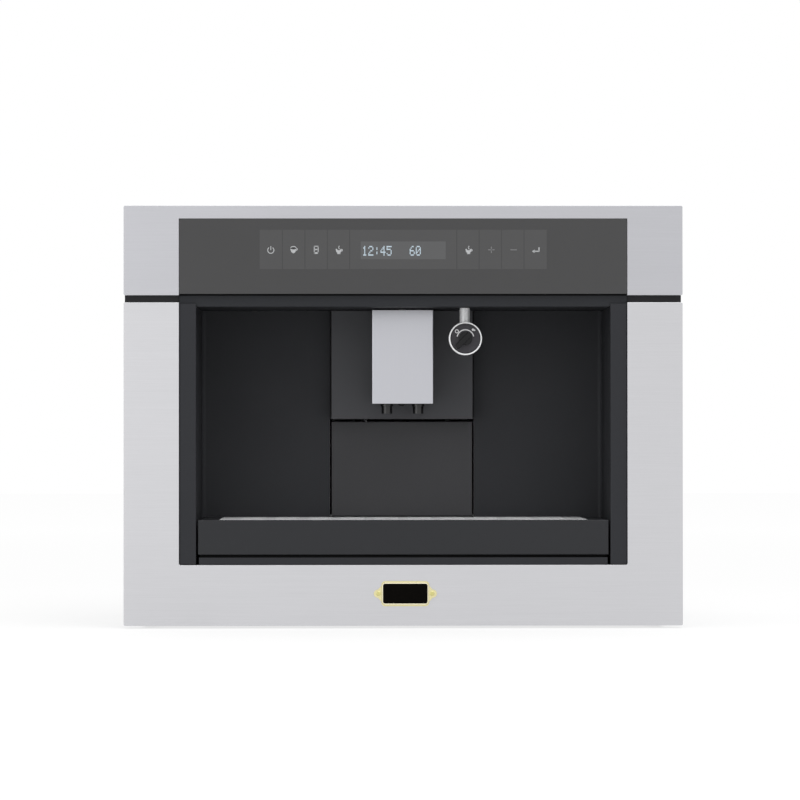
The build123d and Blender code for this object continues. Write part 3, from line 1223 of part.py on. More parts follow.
def grinder_burr():
    """Fluted cone that turns in the grinder."""
    bottom = GRINDER_BOTTOM + GRINDER_FLOOR + BAY_CLEARANCE
    middle = bottom + BURR_HEIGHT / 2
    centre = Pos(GRINDER_X, y_at(GRINDER_DEPTH), middle)
    burr = centre * Cone(BURR_BOTTOM_RADIUS, BURR_TOP_RADIUS, BURR_HEIGHT)
    flute_line = Rot(0, -BURR_FLUTE_SLOPE, 0) * Cylinder(BURR_FLUTE_RADIUS, 2 * BURR_HEIGHT)
    for flute in range(BURR_FLUTES):
        burr -= centre * Rot(0, 0, flute * 360 / BURR_FLUTES) * Pos(BURR_BOTTOM_RADIUS, 0, 0) * flute_line
    return burr + post(GRINDER_X, GRINDER_DEPTH, (GRINDER_BOTTOM, bottom), BURR_SHAFT_RADIUS)


def grind_dial():
    """Fluted knob on the filling deck, on a shaft that reaches the grinder's adjuster."""
    bottom = CASE_TOP + HOPPER_FLANGE + LID_GAP
    z = (bottom, bottom + ADJUSTER_KNOB_HEIGHT)
    dial = round_top(post(ADJUSTER_X, ADJUSTER_DEPTH, z, ADJUSTER_KNOB_RADIUS), TRIM_EDGE)
    groove = Cylinder(ADJUSTER_FLUTE_RADIUS, ADJUSTER_KNOB_HEIGHT)
    groove = Pos(ADJUSTER_KNOB_RADIUS + ADJUSTER_FLUTE_OFFSET, 0, 0) * groove
    for flute in range(ADJUSTER_FLUTES):
        turn = Pos(ADJUSTER_X, y_at(ADJUSTER_DEPTH), sum(z) / 2) * Rot(0, 0, flute * 360 / ADJUSTER_FLUTES)
        dial -= turn * groove
    return dial + post(ADJUSTER_X, ADJUSTER_DEPTH, (ADJUSTER_SHAFT_END, bottom), ADJUSTER_SHAFT_RADIUS)


# Brew unit

def brew_chamber():
    """Brew cylinder carried on a back wall and a base, with the bearings of the lead screw."""
    base = (FRAME_SHELF_TOP, FRAME_SHELF_TOP + BREW_BASE)
    half = BREW_HALF_WIDTH
    body = block((-half, half), (BREW_FRONT_DEPTH, BREW_BACK_DEPTH), base)
    back = (BREW_BACK_DEPTH - BREW_BACK_THICKNESS, BREW_BACK_DEPTH)
    body += block((-half, half), back, (base[0], BREW_CYLINDER_TOP))
    cylinder_z = (BREW_CYLINDER_BOTTOM, BREW_CYLINDER_TOP)
    body += post(0, BREW_DEPTH, cylinder_z, BREW_CYLINDER_RADIUS)
    web = span(0, BREW_CYLINDER_RADIUS)
    body += block(web, (BREW_DEPTH + BREW_WEB_START, back[1]), cylinder_z)
    body += post(SCREW_X, BREW_DEPTH, (base[0], LEAD_BOSS_TOP), LEAD_BOSS_RADIUS)
    arm_z = (BREW_CYLINDER_TOP - LEAD_TOP_BOSS, BREW_CYLINDER_TOP)
    body += post(SCREW_X, BREW_DEPTH, arm_z, LEAD_BOSS_RADIUS)
    body += block((SCREW_X, 0), span(BREW_DEPTH, LEAD_BOSS_RADIUS), arm_z)
    body -= post(0, BREW_DEPTH, cylinder_z, BREW_BORE_RADIUS)
    bore = JOURNAL_RADIUS + RUNNING_FIT
    body -= post(SCREW_X, BREW_DEPTH, (LEAD_BOTTOM - JOURNAL_GAP, LEAD_BOSS_TOP), bore)
    return body - post(SCREW_X, BREW_DEPTH, arm_z, bore)


def brew_piston():
    """Piston with its rod and the yoke that the lead screw drives."""
    head_z = (PISTON_HEAD_BOTTOM, PISTON_HEAD_BOTTOM + PISTON_HEAD)
    piston = post(0, BREW_DEPTH, head_z, BREW_BORE_RADIUS - RUNNING_FIT)
    piston += post(0, BREW_DEPTH, (YOKE_BOTTOM, head_z[0]), PISTON_ROD_RADIUS)
    yoke_z = (YOKE_BOTTOM, YOKE_BOTTOM + YOKE_HEIGHT)
    piston += block((SCREW_X, 0), span(BREW_DEPTH, YOKE_WIDTH), yoke_z)
    piston += post(SCREW_X, BREW_DEPTH, yoke_z, YOKE_WIDTH / 2)
    return piston - post(SCREW_X, BREW_DEPTH, yoke_z, LEAD_RADIUS + RUNNING_FIT)


def lead_screw():
    """Screw with a journal at each end; its thread is shown as its outer diameter."""
    shank_z = (LEAD_BOSS_TOP + JOURNAL_GAP, BREW_CYLINDER_TOP - LEAD_TOP_BOSS - JOURNAL_GAP)
    screw = post(SCREW_X, BREW_DEPTH, shank_z, LEAD_RADIUS)
    journals = (LEAD_BOTTOM, DRIVE_BOTTOM + DRIVE_HEIGHT / 2)
    return screw + post(SCREW_X, BREW_DEPTH, journals, JOURNAL_RADIUS)


def brew_drive():
    """Gearbox over the lead screw with its motor lying behind the bay."""
    x = span(SCREW_X - LEAD_BOSS_RADIUS, DRIVE_WIDTH)
    z = (DRIVE_BOTTOM, DRIVE_BOTTOM + DRIVE_HEIGHT)
    box_depth = span(BREW_DEPTH, DRIVE_LENGTH)
    drive = block((x[0], -CHUTE_SIZE / 2), box_depth, z)
    drive += post(SCREW_X, BREW_DEPTH, (BREW_CYLINDER_TOP, z[0]), LEAD_BOSS_RADIUS)
    motor_z = z[1] - DRIVE_MOTOR_RADIUS
    motor = (box_depth[0] - DRIVE_MOTOR_LENGTH, box_depth[0])
    drive += spindle(x[0] + DRIVE_MOTOR_RADIUS, motor, motor_z, DRIVE_MOTOR_RADIUS)
    bore_z = (BREW_CYLINDER_TOP, DRIVE_BOTTOM + DRIVE_HEIGHT / 2 + JOURNAL_GAP)
    return drive - post(SCREW_X, BREW_DEPTH, bore_z, JOURNAL_RADIUS + RUNNING_FIT)


# Heater, pump, boards, hoses

def heater_x():
    return -CHEEK_OUTSIDE - HEATER_LENGTH, -CHEEK_OUTSIDE


def feed_stub_x():
    return -CHEEK_OUTSIDE - HEATER_LENGTH / 4


def steam_stub_x():
    return -CHEEK_OUTSIDE - 3 * HEATER_LENGTH / 4


def feed_level():
    return HEATER_TOP + 2 * PIPE_BEND


def feed_depth():
    return HEATER_FRONT_DEPTH + HEATER_THICKNESS + 3 * PIPE_BEND


def heater():
    """Finned heating block fixed to the left cheek, with its water inlet below and two outlets above."""
    z = (HEATER_BOTTOM, HEATER_TOP)
    body = block(heater_x(), (HEATER_FRONT_DEPTH, HEATER_FRONT_DEPTH + HEATER_THICKNESS), z)
    back = HEATER_FRONT_DEPTH + HEATER_THICKNESS
    pitch = HEATER_LENGTH / HEATER_FINS
    for fin in range(HEATER_FINS):
        x = heater_x()[0] + (fin + 0.5) * pitch
        body += block(span(x, HEATER_FIN), (back, back + HEATER_FIN_REACH), z)
    body += post(feed_stub_x(), HEATER_MID_DEPTH, (z[0] - STUB_LENGTH, z[0]), STUB_RADIUS)
    for x in (feed_stub_x(), steam_stub_x()):
        body += post(x, HEATER_MID_DEPTH, (z[1], z[1] + STUB_LENGTH), STUB_RADIUS)
    return body


def pump():
    """Vibration pump on two rubber saddles on the base pan."""
    coil = span(PUMP_X, PUMP_COIL)
    body = block(coil, span(TANK_MID_DEPTH, PUMP_COIL), span(PUMP_Z, PUMP_COIL))
    tube_x = span(PUMP_X, PUMP_TUBE_LENGTH)
    body += crossbar(tube_x, TANK_MID_DEPTH, PUMP_Z, PUMP_TUBE_RADIUS)
    body += crossbar(grown(tube_x, PUMP_PORT_LENGTH), TANK_MID_DEPTH, PUMP_Z, PUMP_PORT_RADIUS)
    for end, side in zip(tube_x, (1, -1)):
        saddle = sorted((end, end + side * PUMP_SADDLE))
        body += block(saddle, span(TANK_MID_DEPTH, 2 * PUMP_TUBE_RADIUS), (PAN_TOP, PUMP_Z))
    return body


def power_board():
    """Power board on spacers, with its transformer, relays and capacitors."""
    x, depth = span(POWER_X, POWER_WIDTH), span(POWER_DEPTH, POWER_LENGTH)
    top = POWER_Z + BOARD_THICKNESS
    board = block(x, depth, (POWER_Z, top))
    for spacer_x in grown(x, -POWER_SPACER_INSET):
        for spacer_depth in grown(depth, -POWER_SPACER_INSET):
            board += post(spacer_x, spacer_depth, (PAN_TOP, POWER_Z), SPACER_RADIUS)
    left, front = x[0] + POWER_SPACER_INSET, depth[0] + POWER_SPACER_INSET
    width, length, height = TRANSFORMER_SIZE
    board += block((left, left + width), (front, front + length), (top, top + height))
    width, length, height = RELAY_SIZE
    for relay in range(RELAYS):
        left = x[0] + RELAYS_FROM + relay * RELAY_PITCH
        board += block((left, left + width), (front, front + length), (top, top + height))
        capacitor_z = (top, top + CAPACITOR_HEIGHT)
        board += post(left + width / 2, depth[1] - CAPACITOR_INSET, capacitor_z, CAPACITOR_RADIUS)
    return board


def supply_hose():
    """Silicone hose from the tank dock down to the pump."""
    start = (VALVE_X, TANK_MID_DEPTH, dock_top() - DOCK_THICKNESS - NIPPLE_LENGTH)
    inlet = PUMP_X - PUMP_TUBE_LENGTH / 2 - PUMP_PORT_LENGTH
    turn = (VALVE_X, TANK_MID_DEPTH, PUMP_Z)
    return tube([start, turn, (inlet, TANK_MID_DEPTH, PUMP_Z)], HOSE_RADIUS, HOSE_BEND)


def pressure_pipes():
    """Pump to heater, heater to brew unit, brew unit to spout, and heater to steam tap."""
    outlet = PUMP_X + PUMP_TUBE_LENGTH / 2 + PUMP_PORT_LENGTH
    pumped = tube([(outlet, TANK_MID_DEPTH, PUMP_Z),
                   (feed_stub_x(), TANK_MID_DEPTH, PUMP_Z),
                   (feed_stub_x(), HEATER_MID_DEPTH, PUMP_Z),
                   (feed_stub_x(), HEATER_MID_DEPTH, HEATER_BOTTOM - STUB_LENGTH)],
                  PIPE_RADIUS, PIPE_BEND / 2)
    cylinder_front = BREW_DEPTH - BREW_CYLINDER_RADIUS
    stub_top = HEATER_TOP + STUB_LENGTH
    feed = tube([(feed_stub_x(), HEATER_MID_DEPTH, stub_top),
                 (feed_stub_x(), HEATER_MID_DEPTH, feed_level()),
                 (feed_stub_x(), feed_depth(), feed_level()),
                 (0, feed_depth(), feed_level()),
                 (0, feed_depth(), BREW_FEED_Z),
                 (0, cylinder_front, BREW_FEED_Z)], PIPE_RADIUS, PIPE_BEND / 2)
    rise = feed_depth() + 2 * PIPE_BEND
    coffee = tube([(0, cylinder_front, BREW_OUTLET_Z),
                   (0, rise, BREW_OUTLET_Z),
                   (0, rise, PIPE_LEVEL),
                   (0, COFFEE_PIPE_DEPTH, PIPE_LEVEL),
                   (0, COFFEE_PIPE_DEPTH, COFFEE_PIPE_END)], COFFEE_PIPE_RADIUS, PIPE_BEND / 2)
    level = TAP_STEM_TOP + 2 * PIPE_BEND
    steam = tube([(steam_stub_x(), HEATER_MID_DEPTH, stub_top),
                  (steam_stub_x(), HEATER_MID_DEPTH, level),
                  (steam_stub_x(), TAP_STEM_DEPTH, level),
                  (TAP_X, TAP_STEM_DEPTH, level),
                  (TAP_X, TAP_STEM_DEPTH, TAP_STEM_TOP + BAY_CLEARANCE)], PIPE_RADIUS, PIPE_BEND)
    return Compound([pumped, feed, coffee, steam])


def rocker_z():
    return INLET_Z + ROCKER_RISE


def rocker_pivot_depth():
    return REAR_DEPTH - ROCKER_PIVOT


def mains_inlet():
    """Mains inlet with three blades below and the well of the rocker switch above."""
    x, z = inlet_window(0)
    body = block(x, (REAR_DEPTH - INLET_BODY_LENGTH, REAR_DEPTH), z)
    rear = REAR_DEPTH + INLET_FLANGE
    body += block(span(INLET_X, INLET_WIDTH), (REAR_DEPTH, rear), span(INLET_Z, INLET_HEIGHT))
    socket_z = INLET_Z - SOCKET_DROP
    socket = outline(span(INLET_X, SOCKET_WIDTH), span(socket_z, SOCKET_HEIGHT), SOCKET_CORNER)
    body -= from_front(socket, (rear - SOCKET_DEPTH, rear))
    for blade in (-1, 0, 1):
        blade_z = socket_z + (-BLADE_STAGGER if blade else BLADE_STAGGER)
        body += block(span(INLET_X + blade * BLADE_PITCH, BLADE_WIDTH),
                      (rear - SOCKET_DEPTH, rear - SOCKET_DEPTH + BLADE_LENGTH), span(blade_z, BLADE_HEIGHT))
    well_x = grown(span(INLET_X, ROCKER_WIDTH), ROCKER_GAP / 2)
    well_z = grown(span(rocker_z(), ROCKER_HEIGHT), ROCKER_GAP)
    body -= block(well_x, (rocker_pivot_depth() - ROCKER_WELL_DEPTH, rear), well_z)
    pin = grown(well_x, ROCKER_PIN_REACH)
    return body - crossbar(pin, rocker_pivot_depth(), rocker_z(), ROCKER_PIN_RADIUS + RUNNING_FIT)


def mains_rocker():
    """Rocker that tilts about a cross pin; one end is pressed in."""
    pivot = Pos(INLET_X, y_at(rocker_pivot_depth()), rocker_z())
    half = ROCKER_HEIGHT / 2
    dip = ROCKER_HALF_DEPTH - ROCKER_RIDGE
    side_view = Polyline((-ROCKER_HALF_DEPTH, -half), (dip, -half), (ROCKER_HALF_DEPTH, 0), (dip, half),
                         (-ROCKER_HALF_DEPTH, half), close=True)
    # the side view is drawn in depth and height, then given its width along X
    plane = Plane(origin=(-ROCKER_WIDTH / 2, 0, 0), x_dir=(0, 1, 0), z_dir=(1, 0, 0))
    rocker = extrude(plane * make_face(side_view), ROCKER_WIDTH)
    pin_reach = ROCKER_WIDTH + ROCKER_GAP + 2 * ROCKER_PIN_REACH - 2 * RUNNING_FIT
    rocker += Rot(0, 90, 0) * Cylinder(ROCKER_PIN_RADIUS, pin_reach)
    return pivot * Rot(ROCKER_TILT, 0, 0) * rocker


PIECES = {
    "lower_front": lower_front(),
    "upper_front": upper_front(),
    "front_bulkhead": front_bulkhead(),
    "control_glass": control_glass(),
    "control_board": control_board(),
    "name_plate": name_plate(),
    "name_plate_field": name_plate_field(),
    "name_plate_rivets": name_plate_rivets(),
    "bay_ceiling": bay_ceiling(),
    "bay_trims": bay_trims(),
    "tray_shelf": tray_shelf(),
    "drip_tray": drip_tray(),
    "cup_grid": cup_grid(),
    "grounds_drawer": grounds_drawer(),
    "spout_housing": spout_housing(),
    "spout_body": spout_body(),
    "spout_face": spout_face(),
    "tap_body": tap_body(),
    "tap_dial": tap_dial(),
    "tap_wing": tap_wing(),
    "base_pan": base_pan(),
    "rear_panel": rear_panel(),
    "top_cover": top_cover(),
    "case_screws": case_screws(),
    "inner_frame": inner_frame(),
    "slide_bearings": slide_bearings(),
    "water_tank": water_tank(),
    "tank_lid": tank_lid(),
    "tank_dock": tank_dock(),
    "bean_hopper": bean_hopper(),
    "coffee_chute": coffee_chute(),
    "filling_deck": filling_deck(),
    "hopper_lid": hopper_lid(),
    "chute_lid": chute_lid(),
    "grinder_housing": grinder_housing(),
    "grinder_burr": grinder_burr(),
    "grind_dial": grind_dial(),
    "brew_chamber": brew_chamber(),
    "brew_piston": brew_piston(),
    "lead_screw": lead_screw(),
    "brew_drive": brew_drive(),
    "heater": heater(),
    "pump": pump(),
    "power_board": power_board(),
    "supply_hose": supply_hose(),
    "pressure_pipes": pressure_pipes(),
    "mains_inlet": mains_inlet(),
    "mains_rocker": mains_rocker(),
}
for name, make in {"bay_wall": bay_wall, "side_panel": side_panel,
                   "niche_bracket": niche_bracket, "outer_slide": outer_slide,
                   "middle_slide": middle_slide, "inner_slide": inner_slide}.items():
    PIECES[f"{name}_left"] = make(-1)
    PIECES[f"{name}_right"] = make(1)

os.makedirs("parts", exist_ok=True)
for name, solid in PIECES.items():
    export_step(solid, f"parts/{name}.step")
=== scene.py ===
import json
import math

import bmesh
import bpy
from mathutils import Matrix, Vector
from mathutils.bvhtree import BVHTree


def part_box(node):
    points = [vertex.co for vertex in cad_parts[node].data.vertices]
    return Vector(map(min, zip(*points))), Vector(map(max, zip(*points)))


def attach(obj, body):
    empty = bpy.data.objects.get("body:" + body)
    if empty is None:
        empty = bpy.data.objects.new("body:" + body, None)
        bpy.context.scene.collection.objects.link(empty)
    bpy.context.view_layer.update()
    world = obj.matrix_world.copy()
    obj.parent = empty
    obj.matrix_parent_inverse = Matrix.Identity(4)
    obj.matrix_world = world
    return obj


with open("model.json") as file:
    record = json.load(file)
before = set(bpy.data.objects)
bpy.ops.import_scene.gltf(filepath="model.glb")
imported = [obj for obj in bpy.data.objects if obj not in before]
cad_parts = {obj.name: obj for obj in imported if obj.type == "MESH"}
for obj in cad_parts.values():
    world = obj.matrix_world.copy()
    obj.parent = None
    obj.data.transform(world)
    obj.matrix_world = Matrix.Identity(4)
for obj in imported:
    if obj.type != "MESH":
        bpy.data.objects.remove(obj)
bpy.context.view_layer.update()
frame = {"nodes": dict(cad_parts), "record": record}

# ---------------------------------------------------------------- places
# Lengths below are in millimetres: x to the right, depth behind the steel
# front's face, z up. The frame itself is in metres.
MM = 0.001
X, Y, Z = 0, 1, 2
FACE_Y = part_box("lower_front")[0].y
PRINT = 0.04                  # height of a printed mark above its surface
THIN_PRINT = 0.02             # height of a printed field that marks may stand on
TRAY_SHELF_TOP = 75.4         # strip below the drip tray
APERTURE_HALF, APERTURE_BOTTOM = 238.65, 67.5


def place(x, depth, z):
    return Vector((x * MM, FACE_Y + depth * MM, z * MM))


def depth_of(y):
    return (y - FACE_Y) / MM


def low(node):
    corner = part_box(node)[0]
    return corner.x / MM, depth_of(corner.y), corner.z / MM


def high(node):
    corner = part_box(node)[1]
    return corner.x / MM, depth_of(corner.y), corner.z / MM


def centre_of(name):
    """The middle of a node, as x, depth and z."""
    return tuple((a + b) / 2 for a, b in zip(low(name), high(name)))


# ---------------------------------------------------------------- node trees
NOISE, CELLS = "ShaderNodeTexNoise", "ShaderNodeTexVoronoi"
NOISE_RANGE = (0.3, 0.7)      # where most of a noise texture's values lie
CELL_RANGE = (0.1, 0.9)


def start_material(name, sockets):
    material = bpy.data.materials.new(name)
    material.use_nodes = True
    tree = material.node_tree
    tree.nodes.clear()
    out = tree.nodes.new("ShaderNodeOutputMaterial")
    shader = tree.nodes.new("ShaderNodeBsdfPrincipled")
    tree.links.new(shader.outputs["BSDF"], out.inputs["Surface"])
    for socket, value in sockets.items():
        shader.inputs[socket].default_value = value
    return material, tree, shader


def texture(tree, kind, size, stretch=(1, 1, 1), detail=3.0):
    """A procedural texture whose detail is size mm, longer along the axes of stretch."""
    coords = tree.nodes.new("ShaderNodeTexCoord")
    mapping = tree.nodes.new("ShaderNodeMapping")
    for axis in range(3):
        mapping.inputs["Scale"].default_value[axis] = 1 / (size * MM * stretch[axis])
    node = tree.nodes.new(kind)
    node.inputs["Scale"].default_value = 1.0
    if "Detail" in node.inputs:
        node.inputs["Detail"].default_value = detail
    tree.links.new(coords.outputs["Object"], mapping.inputs["Vector"])
    tree.links.new(mapping.outputs["Vector"], node.inputs["Vector"])
    return node


def maths(tree, operation, *values):
    """A maths node's result; each value is a number or the output of another node."""
    node = tree.nodes.new("ShaderNodeMath")
    node.operation = operation
    for socket, value in zip(node.inputs, values):
        if isinstance(value, (int, float)):
            socket.default_value = value
        else:
            tree.links.new(value, socket)
    return node.outputs[0]


def spread(tree, value, low_value, high_value, inside=NOISE_RANGE):
    """A texture's value, from inside's range to the given one."""
    node = tree.nodes.new("ShaderNodeMapRange")
    node.inputs["From Min"].default_value = inside[0]
    node.inputs["From Max"].default_value = inside[1]
    node.inputs["To Min"].default_value = low_value
    node.inputs["To Max"].default_value = high_value
    tree.links.new(value, node.inputs["Value"])
    return node.outputs["Result"]


def shades(tree, value, dark, light, inside=NOISE_RANGE):
    node = tree.nodes.new("ShaderNodeValToRGB")
    node.color_ramp.elements[0].position = inside[0]
    node.color_ramp.elements[1].position = inside[1]
    node.color_ramp.elements[0].color = dark
    node.color_ramp.elements[1].color = light
    tree.links.new(value, node.inputs["Fac"])
    return node.outputs["Color"]


def tone(color, factor):
    return tuple(min(1.0, c * factor) for c in color[:3]) + (1.0,)


def bump(tree, shader, value, height, strength=1.0):
    node = tree.nodes.new("ShaderNodeBump")
    node.inputs["Distance"].default_value = height * MM
    node.inputs["Strength"].default_value = strength
    tree.links.new(value, node.inputs["Height"])
    tree.links.new(node.outputs["Normal"], shader.inputs["Normal"])


# ---------------------------------------------------------------- materials
# Sizes of grain, patches and relief are in millimetres.
SCRATCH_STRETCH = 140         # a scratch's length over its width
FINE_SCRATCH, COARSE_SCRATCH = 0.22, 1.1
FINE_DETAIL, COARSE_DETAIL = 5.0, 2.0
FINE_SHARE = 0.65             # of the fine scratches in the mix
SCRATCH_RELIEF, SCRATCH_STRENGTH = 0.012, 0.35
BRUSHED_ANISOTROPY = 0.35
SHEEN_PATCH, SHEEN_SPREAD = 130.0, 0.03
MOULD_GRAIN, MOULD_SHADE, MOULD_RELIEF = 0.45, 0.08, 0.012
ZINC_GRAIN, ZINC_RELIEF, ZINC_STRENGTH = 0.6, 0.01, 0.3
DARK_CRYSTAL, LIGHT_CRYSTAL = 0.9, 1.08   # times the sheet's own colour
GLOSSIER, DULLER = 0.06, 0.1  # of the crystals, against the sheet's own roughness
GLOW_GRAIN, GLOW_ROUGHNESS = 0.5, 0.4
DIM_SPOT, BRIGHT_SPOT = 0.92, 1.06        # times the glow's own colour
UNLIT = (0.05, 0.05, 0.05, 1)


def surface(name, color, rough, size, shade, rough_spread=0.05, height=0.0,
            stretch=(1, 1, 1), cloud=90.0, **sockets):
    """Grain of one size in the colour and the relief, and slow patches in the gloss."""
    material, tree, shader = start_material(
        name, {socket.replace("_", " "): value for socket, value in sockets.items()})
    grain = texture(tree, NOISE, size, stretch).outputs["Fac"]
    tree.links.new(shades(tree, grain, tone(color, 1 - shade), tone(color, 1 + shade)),
                   shader.inputs["Base Color"])
    patches = texture(tree, NOISE, cloud).outputs["Fac"]
    tree.links.new(spread(tree, patches, rough - rough_spread, rough + rough_spread),
                   shader.inputs["Roughness"])
    if height:
        bump(tree, shader, grain, height)
    return material


def moulded(name, color, rough, gloss):
    """Black plastic with the fine grain of its mould."""
    return surface(name, color, rough, MOULD_GRAIN, MOULD_SHADE, height=MOULD_RELIEF,
                   Specular_IOR_Level=gloss)


def brushed(name, color, rough, along, shade, metal=1.0):
    """Brushed metal: long fine scratches along one axis, over slow patches of sheen."""
    material, tree, shader = start_material(
        name, {"Metallic": metal, "Anisotropic": BRUSHED_ANISOTROPY})
    stretch = [1, 1, 1]
    stretch[along] = SCRATCH_STRETCH
    fine = texture(tree, NOISE, FINE_SCRATCH, stretch, FINE_DETAIL).outputs["Fac"]
    coarse = texture(tree, NOISE, COARSE_SCRATCH, stretch, COARSE_DETAIL).outputs["Fac"]
    scratches = maths(tree, "MULTIPLY_ADD", fine, FINE_SHARE,
                      maths(tree, "MULTIPLY", coarse, 1 - FINE_SHARE))
    tree.links.new(shades(tree, scratches, tone(color, 1 - shade), tone(color, 1 + shade)),
                   shader.inputs["Base Color"])
    patches = texture(tree, NOISE, SHEEN_PATCH).outputs["Fac"]
    tree.links.new(spread(tree, patches, rough - SHEEN_SPREAD, rough + SHEEN_SPREAD),
                   shader.inputs["Roughness"])
    bump(tree, shader, scratches, SCRATCH_RELIEF, SCRATCH_STRENGTH)
    return material


def spangled(name, color, rough, size, metallic):
    """Zinc coated sheet: crystals of slightly different shade and gloss."""
    material, tree, shader = start_material(name, {"Metallic": metallic})
    cells = texture(tree, CELLS, size)
    grey = tree.nodes.new("ShaderNodeRGBToBW")
    tree.links.new(cells.outputs["Color"], grey.inputs["Color"])
    crystals = grey.outputs["Val"]
    tree.links.new(shades(tree, crystals, tone(color, DARK_CRYSTAL), tone(color, LIGHT_CRYSTAL),
                          CELL_RANGE), shader.inputs["Base Color"])
    tree.links.new(spread(tree, crystals, rough - GLOSSIER, rough + DULLER, CELL_RANGE),
                   shader.inputs["Roughness"])
    fine = texture(tree, NOISE, ZINC_GRAIN).outputs["Fac"]
    bump(tree, shader, fine, ZINC_RELIEF, ZINC_STRENGTH)
    return material


def glowing(name, color, strength):
    """A lit mark: its light is a little uneven, as through a printed diffuser."""
    material, tree, shader = start_material(
        name, {"Roughness": GLOW_ROUGHNESS, "Emission Strength": strength, "Base Color": UNLIT})
    grain = texture(tree, NOISE, GLOW_GRAIN).outputs["Fac"]
    tree.links.new(shades(tree, grain, tone(color, DIM_SPOT), tone(color, BRIGHT_SPOT)),
                   shader.inputs["Emission Color"])
    return material


